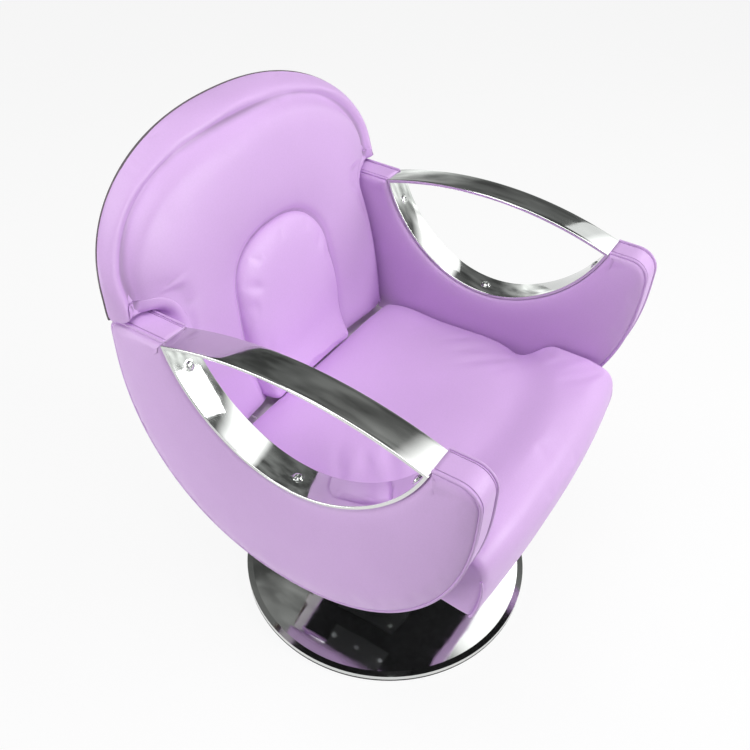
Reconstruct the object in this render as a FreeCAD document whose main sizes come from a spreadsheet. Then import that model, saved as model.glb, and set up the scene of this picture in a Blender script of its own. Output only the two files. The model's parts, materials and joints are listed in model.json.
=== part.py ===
"""Kids salon chair: a padded swivel seat with two half-moon arms on a hydraulic pump and a round base.

Millimetres. +Z is up, the chair faces -Y, and the origin is where the swivel axis meets the floor.
"left" is the sitter's left, which is +X.
"""
import FreeCAD, Part
import math
import os
import Sketcher

V = FreeCAD.Vector

# Driving sizes, in millimetres, degrees where the name says so, or plain shares
SIZES = {
    # round base
    "disc_radius": 250,
    "disc_wall": 2,
    "disc_hole_radius": 66,
    "rim_width": 10,
    "rim_height": 8,
    "dome_rise": 24,
    "weight_plate_inset": 12,
    "weight_plate_thickness": 8,
    "floor_ring_width": 7,
    "floor_ring_height": 4,
    "collar_width": 14,
    "collar_height": 8,
    # pump that stands on the weight plate
    "flange_radius": 60,
    "flange_thickness": 12,
    "flange_bolt_circle": 49,
    "flange_bolt_radius": 4,
    "flange_bolt_head": 6.5,
    "flange_bolt_head_height": 5,
    "pump_radius": 38,
    "pump_top": 206,
    "pump_floor": 8,
    "pump_cover_radius": 47,
    "pump_cover_wall": 1.5,
    "pump_cover_above": 14,
    "gland_bush_length": 26,
    "gland_bush_wall": 5,
    "gland_nut_radius": 43,
    "gland_nut_height": 12,
    # foot pedal and the plunger that it presses
    "block_half_width": 19,
    "block_reach": 92,
    "block_bottom": 50,
    "block_top": 86,
    "ear_thickness": 7,
    "ear_height": 27,
    "ear_half_length": 8,
    "pivot_reach": 60,
    "pivot_height": 104,
    "pedal_pin_radius": 5,
    "lever_width": 20,
    "lever_thickness": 13,
    "lever_reach": 214,
    "lever_end_drop": 6,
    "plunger_radius": 6,
    "plunger_nose_radius": 3,
    "plunger_reach": 80,
    "plunger_stroke": 8,
    "foot_pad_length": 46,
    "foot_pad_width": 76,
    "foot_pad_thickness": 9,
    "foot_pad_corner": 10,
    "foot_pad_groove": 3,
    # ram, its telescoping cover and the bearing
    "ram_radius": 25,
    "ram_top": 254,
    "ram_collar_width": 7,
    "ram_collar_height": 4,
    "spigot_radius": 15,
    "spigot_length": 44,
    "bearing_width": 10,
    "bearing_height": 8,
    "ram_cover_gap": 3,
    "ram_cover_length": 112,
    "ram_cover_wall": 2,
    # seat hub, plate and board
    "hub_wall": 20,
    "hub_flange_radius": 60,
    "hub_flange_thickness": 8,
    "mount_plate_side": 180,
    "mount_plate_thickness": 6,
    "mount_bolt_pitch": 140,
    "mount_bolt_radius": 4,
    "mount_bolt_head": 7,
    "mount_bolt_head_height": 5,
    "board_bottom": 308,
    "board_thickness": 18,
    "board_inset": 12.5,
    "board_rear": 144,
    "board_front": 240,
    "board_corner": 30,
    # seat cushion, with its front roll
    "seat_half_width": 224.5,
    "seat_rear": 152,
    "seat_corner": 26,
    "seat_crease_side": 105,
    "seat_crease_bow": 76,
    "seat_height": 80,
    "seat_side_height": 58,
    "seat_crown_inset": 104,
    "roll_front": 269,
    "roll_bulge": 13,
    "roll_height": 122,
    "roll_foot_inset": 14,
    "crease_gap": 1.6,
    # arms: half-moon panels
    "arm_gap": 7,
    "arm_thickness": 55.5,
    "arm_core_thickness": 18,
    "arm_half_length": 268.5,
    "arm_top": 602,
    "arm_shoulder_drop": 52,
    "arm_height": 349,
    "arm_rear_corner": 20,
    "arm_nose_radius": 30,
    "arm_nose_rise": 4,
    "arm_band_wall": 2.6,
    "arm_band_width": 40,
    "arm_crown_inset": 12,
    # chrome loop in the bite of each arm
    "loop_width": 47,
    "loop_shift": 3.25,
    "loop_bar": 5,
    "loop_rear_tip": 176.5,
    "loop_front_tip": 206.5,
    "loop_tip_drop": 1,
    "loop_crown_rise": 31,
    "loop_foot_depth": 148,
    "loop_foot_reach": 12,
    "loop_foot_radius": 170,
    "loop_foot_half_angle": 25,
    "loop_screw_radius": 3,
    "loop_screw_head": 6.5,
    "loop_screw_head_height": 3,
    "loop_screw_length": 34,
    # brackets and screws that hold the arms to the board
    "bracket_wall": 4,
    "bracket_foot": 76,
    "bracket_rise": 58,
    "bracket_rear": 60,
    "bracket_front": 120,
    "arm_screw_radius": 4,
    "arm_screw_head": 8,
    "arm_screw_head_height": 3,
    "arm_screw_length": 36,
    "arm_screw_pitch": 66,
    "arm_screw_height": 342,
    "board_screw_radius": 3,
    "board_screw_head": 7,
    "board_screw_head_height": 3.5,
    "board_screw_length": 16,
    # cross bar between the arms, and the uprights of the back
    "cross_bar_front": 156,
    "cross_bar_depth": 40,
    "cross_bar_wall": 5,
    "cross_bar_height": 348,
    "end_plate_wall": 4,
    "end_plate_rise": 48,
    "end_plate_setback": 20,
    "upright_x": 110,
    "upright_width": 35,
    "upright_wall": 4,
    "upright_top": 560,
    "upright_screw_radius": 2.5,
    "upright_screw_head": 5,
    "upright_screw_head_height": 2,
    "upright_screw_length": 8,
    # back
    "back_bottom": 362.5,
    "back_top_rise": 194,
    "back_wide_rise": 42,
    "back_foot_y": 160,
    "back_waist_y": 196,
    "back_head_y": 277,
    "back_overhang": 4,
    "back_side_gap": 5.5,
    "back_pad_thickness": 38,
    "back_lower_crown": 9,
    "back_upper_crown": 32,
    "back_edge_round": 9,
    "back_board_thickness": 9,
    "back_board_inset": 16,
    "shell_inset": 5,
    "shell_edge_depth": 13,
    "shell_edge_round": 6,
    "shell_bulge": 13,
    "shell_wall": 3,
    "lumbar_half_width": 114,
    "lumbar_bottom": 386,
    "lumbar_top": 630,
    "lumbar_depth": 26,
    "lumbar_round_height": 96,
    "lumbar_gap": 0.8,
    # clearances
    "running_gap": 0.3,
    "seat_gap": 0.3,
    "soft_gap": 0.5,
    "bore_gap": 0.2,
    "lever_gap": 0.4,
    "overrun": 5,
    "trim_spare": 2,
}

# Places that follow from the sizes above
BOARD_SIDE = "(seat_half_width - board_inset)"
ARM_INNER = "(seat_half_width + arm_gap)"
ARM_OUTER = "(seat_half_width + arm_gap + arm_thickness)"
LOOP_CENTRE = ARM_INNER + " + arm_thickness / 2 + loop_shift"
LOOP_TIP = "arm_top - loop_tip_drop"
BACK_TOP = "arm_top + back_top_rise"

# How the half-moon outline departs from an ellipse (two is an ellipse), and where its arcs meet
ARM_POWER_SHARE = 2.1
HALF_MOON_SHARES = (0, 0.125, 0.25, 0.375, 0.5, 0.625, 0.75, 0.875, 1)
# How full the top of the back is (one is an ellipse)
BACK_POWER_SHARE = 0.9
# Where the pedal lever starts to thin, and how far its tang runs under the foot pad
LEVER_TAPER_SHARE = 0.72
LEVER_TANG_SHARE = 0.7
# Heights of the screws in the end plates of the cross bar
END_PLATE_SCREW_SHARES = (0.33, 0.75)
# Crown of a padded face: share of the thickness, share of the inset
CROWN_SHARES = ((0.0, 0.0), (0.35, 0.03), (0.65, 0.18), (0.87, 0.5), (1.0, 1.0))
# Seat cushion sections: share of the height, share of the crown inset, share of the tilt
SEAT_SHARES = ((0.0, 0.05, 0.0), (0.28, 0.0, 0.3), (0.58, 0.015, 0.6), (0.76, 0.1, 0.85),
               (0.88, 0.27, 1.0), (0.955, 0.55, 1.0), (1.0, 1.0, 1.0))
SEAT_TILT_SHARE = 0.09
# Where the front roll's sections stand across the half width, and how far each end draws in
ROLL_SHARES = ((-1.0, 1.0), (-0.96, 0.35), (-0.7, 0.0), (-0.35, 0.0), (0.0, 0.0))
ROLL_DRAW_SHARE = 0.05
# Front roll section, as shares of its height: points given by how far back from the nose and how far up
ROLL_BELLY_SHARES = (0.02, 0.36)
ROLL_NOSE_SHARES = (0.0, 0.7)
ROLL_BROW_SHARES = (0.1, 0.93)
ROLL_LIP_SHARES = (0.33, 1.0)
ROLL_TOP_BOW_SHARE = 0.03
# Heights of the upright screws, as shares of the upright
UPRIGHT_SCREW_SHARES = (0.45, 0.7, 0.9)
# How far along each side of the loop its screw stands
LOOP_SCREW_SHARE = 0.76
# Angles of the sections that close the round top of the back, in degrees
BACK_TOP_ANGLE_SHARES = (0, 20, 38, 54, 68, 79, 86)
# Narrowing of the wide back just above the arms
BACK_WAIST_SHARE = 0.972
# Lumbar pillow sections below the round top: share of the height, share of the width, share of the depth
LUMBAR_SHARES = ((0.0, 0.9, 0.45), (0.06, 0.97, 0.75), (0.25, 1.0, 0.95), (0.6, 0.96, 1.0))
LUMBAR_TOP_ANGLE_SHARES = (30, 52, 70, 82)
# Width of the pillow where its round top starts, and the flat part and the edge depth of its section
LUMBAR_SHOULDER_SHARE = 0.91
LUMBAR_FLAT_SHARE = 0.93
LUMBAR_EDGE_SHARE = 0.35

doc = FreeCAD.newDocument("kids_salon_chair")
sheet = doc.addObject("Spreadsheet::Sheet", "sizes")
for row, (name, value) in enumerate(SIZES.items(), start=1):
    sheet.set("A%d" % row, name)
    sheet.set("B%d" % row, str(value))
    sheet.setAlias("B%d" % row, name)
doc.recompute()

parts = []


def size(text):
    """Value of a sheet alias, or of a sum of them."""
    return float(sheet.evalExpression(text))


def bound(text):
    """The same sum, written for an object outside the sheet."""
    words = []
    word = ""
    for letter in text + " ":
        if letter.isalnum() or letter == "_":
            word += letter
            continue
        words.append("sizes." + word if word in SIZES else word)
        words.append(letter)
        word = ""
    return "".join(words).strip()


def keep(thing, label):
    """Names a finished sub-part and puts it on the list of files."""
    thing.Label = label
    parts.append(thing)
    return thing


def kept_shape(label, shape):
    """A sub-part whose shape is worked out from the sheet."""
    thing = doc.addObject("Part::Feature", label)
    thing.Shape = shape
    return keep(thing, label)


def new_body(label):
    return keep(doc.addObject("PartDesign::Body", label), label)


def new_sketch(body, role, lift=None):
    """Sketch on one of the body's own origin planes, lifted along its normal."""
    sketch = body.newObject("Sketcher::SketchObject", body.Name + "_sketch")
    plane = [feature for feature in body.Origin.OriginFeatures if feature.Role == role][0]
    sketch.AttachmentSupport = [(plane, "")]
    sketch.MapMode = "FlatFace"
    if lift is not None:
        sketch.setExpression("AttachmentOffset.Base.z", bound(lift))
    return sketch


def pin(sketch, kind, edge, point, text):
    """Ties one coordinate of a sketch point to a sum of sizes."""
    index = sketch.addConstraint(Sketcher.Constraint(kind, -1, 1, edge, point, size(text)))
    sketch.setExpression("Constraints[%d]" % index, bound(text))


def draw_outline(sketch, corners):
    """Closed outline. A corner is (across, up) or (across, up, radius) where an arc leaves it.

    A positive radius bends to the left of the way that the outline runs, a minus sign in front
    of the text bends it to the right.
    """
    spots = [V(size(corner[0]), size(corner[1]), 0) for corner in corners]
    edges = []
    for index, corner in enumerate(corners):
        start = spots[index]
        end = spots[(index + 1) % len(spots)]
        if len(corner) == 2:
            edge = sketch.addGeometry(Part.LineSegment(start, end), False)
            edges.append((edge, 1, 2))
            continue
        left = not corner[2].startswith("-")
        text = corner[2].lstrip("-")
        radius = size(text)
        middle = (start + end) * 0.5
        along = end - start
        side = V(-along.y, along.x, 0).normalize() * (1 if left else -1)
        centre = middle + side * math.sqrt(max(radius ** 2 - (along.Length / 2) ** 2, 0))
        first, last = (start, end) if left else (end, start)
        turn_a = math.atan2(first.y - centre.y, first.x - centre.x)
        turn_b = math.atan2(last.y - centre.y, last.x - centre.x)
        circle = Part.Circle(centre, V(0, 0, 1), radius)
        edge = sketch.addGeometry(Part.ArcOfCircle(circle, turn_a, turn_b), False)
        edges.append((edge, 1, 2) if left else (edge, 2, 1))
        index_radius = sketch.addConstraint(Sketcher.Constraint("Radius", edge, radius))
        sketch.setExpression("Constraints[%d]" % index_radius, bound(text))
    for index, (edge, start, end) in enumerate(edges):
        following, next_start = edges[(index + 1) % len(edges)][:2]
        sketch.addConstraint(Sketcher.Constraint("Coincident", edge, end, following, next_start))
        pin(sketch, "DistanceX", edge, start, corners[index][0])
        pin(sketch, "DistanceY", edge, start, corners[index][1])


def draw_circle(sketch, across, up, radius):
    circle = Part.Circle(V(size(across), size(up), 0), V(0, 0, 1), size(radius))
    edge = sketch.addGeometry(circle, False)
    index = sketch.addConstraint(Sketcher.Constraint("Radius", edge, size(radius)))
    sketch.setExpression("Constraints[%d]" % index, bound(radius))
    pin(sketch, "DistanceX", edge, 3, across)
    pin(sketch, "DistanceY", edge, 3, up)


def turned(label, corners):
    """Solid turned about the swivel axis from a half section in the XZ plane."""
    body = new_body(label)
    sketch = new_sketch(body, "XZ_Plane")
    draw_outline(sketch, corners)
    turn = body.newObject("PartDesign::Revolution", label + "_turn")
    turn.Profile = sketch
    turn.ReferenceAxis = (sketch, ["V_Axis"])
    doc.recompute()
    return body


def raised(body, sketch, length, symmetric=False):
    pad = body.newObject("PartDesign::Pad", body.Name + "_pad")
    pad.Profile = sketch
    pad.setExpression("Length", bound(length))
    if symmetric:
        pad.SideType = "Symmetric"
    doc.recompute()
    return pad


def plate(label, role, corners, lift, length, symmetric=False):
    """Plate padded from an outline that is drawn in an origin plane."""
    body = new_body(label)
    sketch = new_sketch(body, role, lift)
    draw_outline(sketch, corners)
    raised(body, sketch, length, symmetric)
    return body


def drilled(body, role, holes, lift="0"):
    """Round holes right through the body, square to an origin plane."""
    before = body.Shape.Volume
    sketch = new_sketch(body, role, lift)
    for across, up, radius in holes:
        draw_circle(sketch, across, up, radius)
    pocket = body.newObject("PartDesign::Pocket", body.Name + "_holes")
    pocket.Profile = sketch
    pocket.Type = "ThroughAll"
    pocket.SideType = "Symmetric"
    doc.recompute()
    if body.Shape.Volume >= before:
        raise RuntimeError("no hole was cut in " + body.Label)
    return pocket


def box_corners(left, right, low, high):
    return ((left, low), (right, low), (right, high), (left, high))


def post(place, way, radius, length):
    return Part.makeCylinder(radius, length, place, way)


def fastener(place, way, head_radius, head_height, radius, length, sunk=False, sides=0):
    """Screw or bolt. Its head lies against the surface at place, and its shank runs along way."""
    way = V(way).normalize()
    shank = post(place, way, radius, length)
    if sunk:
        head = Part.makeCone(head_radius, radius, head_height, place, way)
    elif sides:
        turns = [math.tau * step / sides for step in range(sides + 1)]
        rim = [V(math.cos(turn), math.sin(turn), 0) * head_radius for turn in turns]
        head = Part.Face(Part.makePolygon(rim)).extrude(V(0, 0, -head_height))
        head.Placement = FreeCAD.Placement(place, FreeCAD.Rotation(V(0, 0, 1), way))
    else:
        head = post(place - way * head_height, way, head_radius, head_height)
    return head.fuse(shank).removeSplitter()


def pocketed(body, role, corners):
    """Cuts an outline right through the body, square to an origin plane."""
    before = body.Shape.Volume
    sketch = new_sketch(body, role, "0")
    draw_outline(sketch, corners)
    pocket = body.newObject("PartDesign::Pocket", body.Name + "_pocket")
    pocket.Profile = sketch
    pocket.Type = "ThroughAll"
    pocket.SideType = "Symmetric"
    doc.recompute()
    if body.Shape.Volume >= before:
        raise RuntimeError("nothing was cut from " + body.Label)


def group(label, solids):
    return kept_shape(label, Part.makeCompound(solids))


def wire(edges):
    return Part.Wire([edge.toShape() for edge in edges])


def loft(wires):
    return Part.makeLoft(wires, True, False)


# Round base
def make_base():
    foot = "floor_ring_height"
    rim_top = foot + " + rim_height"
    dome_span = "(disc_radius - rim_width - disc_hole_radius)"
    dome_radius = "(%s * %s + dome_rise * dome_rise) / (2 * dome_rise)" % (dome_span, dome_span)
    dome_top = rim_top + " + dome_rise"
    turned("base_cover_disc", (
        ("disc_radius", foot),
        ("disc_radius", rim_top),
        ("disc_radius - rim_width", rim_top, dome_radius),
        ("disc_hole_radius", dome_top),
        ("disc_hole_radius", dome_top + " - disc_wall", "-" + dome_radius),
        ("disc_radius - rim_width", rim_top + " - disc_wall"),
        ("disc_radius - disc_wall", rim_top + " - disc_wall"),
        ("disc_radius - disc_wall", foot),
    ))
    turned("floor_ring", box_corners("disc_radius - floor_ring_width", "disc_radius - bore_gap", "0", foot))
    weight_plate = turned("base_weight_plate", box_corners(
        "0", "disc_radius - weight_plate_inset", "0", "weight_plate_thickness"))
    collar_inner = "pump_cover_radius + seat_gap"
    turned("base_collar", (
        (collar_inner, dome_top),
        ("disc_hole_radius + collar_width", dome_top),
        ("disc_hole_radius + collar_width", dome_top + " + disc_wall", "collar_height + collar_width"),
        (collar_inner + " + disc_wall", dome_top + " + collar_height"),
        (collar_inner, dome_top + " + collar_height"),
    ))
    return weight_plate


def make_pump(weight_plate):
    floor = "weight_plate_thickness"
    flange_top = floor + " + flange_thickness"
    flange = turned("pump_flange", box_corners("0", "flange_radius", floor, flange_top))
    reach = "flange_bolt_circle"
    holes = ((reach, "0"), ("0", reach), ("-" + reach, "0"), ("0", "-" + reach))
    hole_radius = "flange_bolt_radius + bore_gap"
    drilled(flange, "XY_Plane", [(across, up, hole_radius) for across, up in holes])
    drilled(weight_plate, "XY_Plane", [(across, up, hole_radius) for across, up in holes])
    group("pump_flange_bolts", [
        fastener(V(size(across), size(up), size(flange_top)), V(0, 0, -1), size("flange_bolt_head"),
                 size("flange_bolt_head_height"), size("flange_bolt_radius"),
                 size("flange_thickness + weight_plate_thickness - disc_wall"), sides=6)
        for across, up in holes])

    bore = "ram_radius + running_gap"
    seat_radius = "ram_radius + gland_bush_wall"
    bush_foot = "pump_top - gland_bush_length"
    turned("pump_cylinder", (
        ("0", flange_top),
        ("pump_radius", flange_top),
        ("pump_radius", "pump_top"),
        (seat_radius, "pump_top"),
        (seat_radius, bush_foot),
        (bore, bush_foot),
        (bore, flange_top + " + pump_floor"),
        ("0", flange_top + " + pump_floor"),
    ))
    turned("gland_bush", box_corners(bore, seat_radius, bush_foot, "pump_top"))
    nut = turned("gland_nut", (
        (bore, "pump_top"),
        ("gland_nut_radius", "pump_top"),
        ("gland_nut_radius", "pump_top + gland_nut_height - disc_wall"),
        ("gland_nut_radius - disc_wall", "pump_top + gland_nut_height"),
        (bore, "pump_top + gland_nut_height"),
    ))
    pin_reach = "(gland_nut_radius + ram_radius) / 2"
    drilled(nut, "XY_Plane", ((pin_reach, "0", "disc_wall"), ("-" + pin_reach, "0", "disc_wall")))

    dome_top = "floor_ring_height + rim_height + dome_rise"
    cover = turned("pump_cover", box_corners(
        "pump_cover_radius - pump_cover_wall", "pump_cover_radius", dome_top, "pump_top + pump_cover_above"))
    before = cover.Shape.Volume
    sketch = new_sketch(cover, "XZ_Plane", "0")
    slot = "block_half_width + running_gap"
    draw_outline(sketch, box_corners("-(%s)" % slot, slot, "block_bottom - running_gap",
                                     "block_top + ear_height + running_gap"))
    pocket = cover.newObject("PartDesign::Pocket", "pump_cover_slot")
    pocket.Profile = sketch
    pocket.setExpression("Length", bound("pump_cover_radius + overrun"))
    doc.recompute()
    if cover.Shape.Volume >= before:
        raise RuntimeError("the slot of the pump cover was not cut")


def make_pedal():
    block = plate("valve_block", "YZ_Plane", (
        ("pump_radius - overrun", "block_bottom"),
        ("block_reach - overrun", "block_bottom"),
        ("block_reach", "block_bottom + overrun"),
        ("block_reach", "block_top"),
        ("pivot_reach + ear_half_length", "block_top"),
        ("pivot_reach + ear_half_length", "block_top + ear_height - overrun"),
        ("pivot_reach + ear_half_length - overrun", "block_top + ear_height"),
        ("pivot_reach - ear_half_length + overrun", "block_top + ear_height"),
        ("pivot_reach - ear_half_length", "block_top + ear_height - overrun"),
        ("pivot_reach - ear_half_length", "block_top"),
        ("pump_radius - overrun", "block_top"),
    ), None, "2 * block_half_width", symmetric=True)
    seat_cut = new_sketch(block, "XY_Plane")
    draw_circle(seat_cut, "0", "0", "pump_radius")
    pocket = block.newObject("PartDesign::Pocket", "valve_block_saddle")
    pocket.Profile = seat_cut
    pocket.Type = "ThroughAll"
    pocket.SideType = "Symmetric"
    fork = new_sketch(block, "XY_Plane", "block_top")
    fork_half = "block_half_width - ear_thickness"
    draw_outline(fork, box_corners("-(%s)" % fork_half, fork_half, "pivot_reach - 2 * ear_half_length",
                                   "pivot_reach + 2 * ear_half_length"))
    fork_cut = block.newObject("PartDesign::Pocket", "valve_block_fork")
    fork_cut.Profile = fork
    fork_cut.setExpression("Length", bound("ear_height + overrun"))
    fork_cut.Reversed = True
    doc.recompute()
    drilled(block, "YZ_Plane", (("pivot_reach", "pivot_height", "pedal_pin_radius + bore_gap"),))
    before = block.Shape.Volume
    well = new_sketch(block, "XY_Plane", "block_bottom + overrun")
    draw_circle(well, "0", "plunger_reach", "plunger_radius + running_gap")
    well_cut = block.newObject("PartDesign::Pocket", "valve_block_well")
    well_cut.Profile = well
    well_cut.setExpression("Length", bound("block_top - block_bottom"))
    well_cut.Reversed = True
    doc.recompute()
    if block.Shape.Volume >= before:
        raise RuntimeError("the plunger well was not cut")

    lever_low = "pivot_height - lever_thickness / 2"
    nose_top = lever_low + " - lever_gap"
    plunger_low = "block_bottom + overrun + plunger_stroke + running_gap"
    stem = doc.addObject("Part::Cylinder", "plunger_stem")
    stem.setExpression("Radius", bound("plunger_radius"))
    stem.setExpression("Height", bound("%s - plunger_nose_radius - (%s)" % (nose_top, plunger_low)))
    stem.setExpression("Placement.Base.y", bound("plunger_reach"))
    stem.setExpression("Placement.Base.z", bound(plunger_low))
    nose = doc.addObject("Part::Cone", "plunger_nose")
    nose.setExpression("Radius1", bound("plunger_radius"))
    nose.setExpression("Radius2", bound("plunger_nose_radius"))
    nose.setExpression("Height", bound("plunger_nose_radius"))
    nose.setExpression("Placement.Base.y", bound("plunger_reach"))
    nose.setExpression("Placement.Base.z", bound(nose_top + " - plunger_nose_radius"))
    plunger = doc.addObject("Part::Fuse", "pump_plunger")
    plunger.Base = stem
    plunger.Tool = nose
    keep(plunger, "pump_plunger")

    pin_body = doc.addObject("Part::Cylinder", "pedal_pin")
    pin_body.setExpression("Radius", bound("pedal_pin_radius"))
    pin_body.setExpression("Height", bound("2 * block_half_width + 2 * ear_thickness / 3"))
    pin_body.Placement = FreeCAD.Placement(V(0, 0, 0), FreeCAD.Rotation(V(0, 1, 0), 90))
    pin_body.setExpression("Placement.Base.x", bound("-(block_half_width + ear_thickness / 3)"))
    pin_body.setExpression("Placement.Base.y", bound("pivot_reach"))
    pin_body.setExpression("Placement.Base.z", bound("pivot_height"))
    keep(pin_body, "pedal_pin")

    half = "lever_thickness / 2"
    taper = "lever_reach * %s" % LEVER_TAPER_SHARE
    tang = "lever_reach + foot_pad_length * %s" % LEVER_TANG_SHARE
    lever = plate("pedal_lever", "YZ_Plane", (
        ("pivot_reach", "pivot_height + " + half, half),
        ("pivot_reach - " + half, "pivot_height", half),
        ("pivot_reach", "pivot_height - " + half),
        (taper, "pivot_height - " + half),
        ("lever_reach", "pivot_height - lever_end_drop - " + half),
        (tang, "pivot_height - lever_end_drop - " + half),
        (tang, "pivot_height - lever_end_drop - foot_pad_groove / 2"),
        ("lever_reach", "pivot_height - lever_end_drop - foot_pad_groove / 2"),
        (taper, "pivot_height + " + half),
    ), None, "lever_width", symmetric=True)
    drilled(lever, "YZ_Plane", (("pivot_reach", "pivot_height", "pedal_pin_radius + bore_gap"),))

    pad_low = "pivot_height - lever_end_drop - foot_pad_groove / 2"
    wide = "foot_pad_width / 2"
    rear = "lever_reach + foot_pad_length"
    corner = "foot_pad_corner"
    foot = plate("pedal_pad", "XY_Plane", (
        ("-%s + %s" % (wide, corner), "lever_reach"),
        ("%s - %s" % (wide, corner), "lever_reach", corner),
        (wide, "lever_reach + " + corner),
        (wide, "%s - %s" % (rear, corner), corner),
        ("%s - %s" % (wide, corner), rear),
        ("-%s + %s" % (wide, corner), rear, corner),
        ("-" + wide, "%s - %s" % (rear, corner)),
        ("-" + wide, "lever_reach + " + corner, corner),
    ), pad_low, "foot_pad_thickness")
    groove = new_sketch(foot, "XY_Plane", pad_low + " + foot_pad_thickness")
    draw_outline(groove, box_corners(
        "-%s + %s" % (wide, corner), "%s - %s" % (wide, corner),
        "lever_reach + foot_pad_groove * 2", "lever_reach + foot_pad_groove * 3"))
    cut = foot.newObject("PartDesign::Pocket", "pedal_pad_groove")
    cut.Profile = groove
    cut.setExpression("Length", bound("foot_pad_groove"))
    rows = foot.newObject("PartDesign::LinearPattern", "pedal_pad_grooves")
    rows.Originals = [cut]
    rows.Direction = (groove, ["V_Axis"])
    rows.setExpression("Length", bound("foot_pad_length - foot_pad_groove * 5"))
    rows.Occurrences = 5
    foot.Tip = rows
    doc.recompute()


def make_ram():
    foot = "weight_plate_thickness + flange_thickness + pump_floor + seat_gap"
    shelf = "ram_top - 2 * ram_collar_height"
    turned("ram_tube", (
        ("0", foot),
        ("ram_radius", foot),
        ("ram_radius", shelf),
        ("ram_radius + ram_collar_width", shelf),
        ("ram_radius + ram_collar_width", shelf + " + ram_collar_height"),
        ("ram_radius", shelf + " + ram_collar_height"),
        ("ram_radius", "ram_top"),
        ("spigot_radius", "ram_top"),
        ("spigot_radius", "ram_top + spigot_length"),
        ("0", "ram_top + spigot_length"),
    ))
    inside = "pump_cover_radius + ram_cover_gap"
    top = shelf + " + ram_collar_height + ram_cover_wall"
    turned("ram_cover", (
        (inside, top + " - ram_cover_length"),
        (inside + " + ram_cover_wall", top + " - ram_cover_length"),
        (inside + " + ram_cover_wall", top + " - ram_cover_wall", "ram_cover_wall"),
        (inside, top),
        ("ram_radius + bore_gap", top),
        ("ram_radius + bore_gap", top + " - ram_cover_wall"),
        (inside, top + " - ram_cover_wall"),
    ))
    turned("thrust_bearing", box_corners(
        "spigot_radius + bore_gap", "spigot_radius + bearing_width", "ram_top", "ram_top + bearing_height"))


def make_seat_base():
    plate_low = "board_bottom - mount_plate_thickness"
    turned("seat_hub", (
        ("spigot_radius + running_gap", "ram_top + bearing_height + running_gap"),
        ("spigot_radius + hub_wall", "ram_top + bearing_height + running_gap"),
        ("spigot_radius + hub_wall", plate_low + " - hub_flange_thickness"),
        ("hub_flange_radius", plate_low + " - hub_flange_thickness"),
        ("hub_flange_radius", plate_low),
        ("spigot_radius + running_gap", plate_low),
    ))
    half = "mount_plate_side / 2"
    mount = plate("seat_mount_plate", "XY_Plane", box_corners("-" + half, half, "-" + half, half),
                  plate_low, "mount_plate_thickness")
    pitch = "mount_bolt_pitch / 2"
    holes = ((pitch, pitch), ("-" + pitch, pitch), (pitch, "-" + pitch), ("-" + pitch, "-" + pitch))
    bolt_bore = "mount_bolt_radius + bore_gap"
    drilled(mount, "XY_Plane", [(across, up, bolt_bore) for across, up in holes])

    wide = BOARD_SIDE
    corner = "board_corner"
    board = plate("seat_board", "XY_Plane", (
        ("-%s + %s" % (wide, corner), "-board_front"),
        ("%s - %s" % (wide, corner), "-board_front", corner),
        (wide, "-board_front + " + corner),
        (wide, "board_rear"),
        ("-" + wide, "board_rear"),
        ("-" + wide, "-board_front + " + corner, corner),
    ), "board_bottom", "board_thickness")
    screw_x = "seat_half_width - bracket_foot / 2"
    screws = []
    for sign in ("", "-"):
        for reach in ("bracket_rear - overrun * 2", "(bracket_rear - bracket_front) / 2",
                      "overrun * 2 - bracket_front"):
            screws.append((sign + "(" + screw_x + ")", reach))
    drilled(board, "XY_Plane", [(across, up, bolt_bore) for across, up in holes]
            + [(across, up, "board_screw_radius + bore_gap") for across, up in screws])
    group("mount_bolts", [
        fastener(V(size(across), size(up), size(plate_low)), V(0, 0, 1), size("mount_bolt_head"),
                 size("mount_bolt_head_height"), size("mount_bolt_radius"),
                 size("mount_plate_thickness + board_thickness - disc_wall"), sides=6)
        for across, up in holes])

    for side, sign in (("left", ""), ("right", "-")):
        outer = ARM_INNER + " - seat_gap"
        bracket = plate(side + "_arm_bracket", "XZ_Plane", (
            (sign + "(seat_half_width - bracket_foot)", "board_bottom - bracket_wall"),
            (sign + "(%s)" % outer, "board_bottom - bracket_wall"),
            (sign + "(%s)" % outer, "board_bottom - bracket_wall + bracket_rise"),
            (sign + "(%s - bracket_wall)" % outer, "board_bottom - bracket_wall + bracket_rise"),
            (sign + "(%s - bracket_wall)" % outer, "board_bottom"),
            (sign + "(seat_half_width - bracket_foot)", "board_bottom"),
        ), "-bracket_rear", "bracket_rear + bracket_front")
        mine = [spot for spot in screws if spot[0].startswith("-") == (sign == "-")]
        board_bore = "board_screw_radius + bore_gap"
        drilled(bracket, "XY_Plane", [(across, up, board_bore) for across, up in mine])
        drilled(bracket, "YZ_Plane", [(reach, "arm_screw_height", "arm_screw_head + bore_gap")
                                      for reach in arm_screw_reaches()])
    group("bracket_screws", [
        fastener(V(size(across), size(up), size("board_bottom - bracket_wall")), V(0, 0, 1),
                 size("board_screw_head"), size("board_screw_head_height"), size("board_screw_radius"),
                 size("board_screw_length"))
        for across, up in screws])


def arm_screw_reaches():
    middle = "(bracket_rear - bracket_front) / 2"
    return (middle + " + arm_screw_pitch", middle, middle + " - arm_screw_pitch")


def end_plate_spots():
    """Where the screws in the end plates of the cross bar stand: reach and height."""
    reach = "cross_bar_front + (cross_bar_depth + end_plate_setback) / 2"
    low = "cross_bar_height + cross_bar_wall + end_plate_rise * "
    return [(reach, low + str(share)) for share in END_PLATE_SCREW_SHARES]


# Seat cushion
def crease_bow(across):
    """How far forward the crease between cushion and front roll lies at a place across the seat."""
    half = size("seat_half_width")
    bow = size("seat_crease_bow")
    radius = (half ** 2 + bow ** 2) / (2 * bow)
    return -size("seat_crease_side") - bow + radius - math.sqrt(radius ** 2 - across ** 2)


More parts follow.
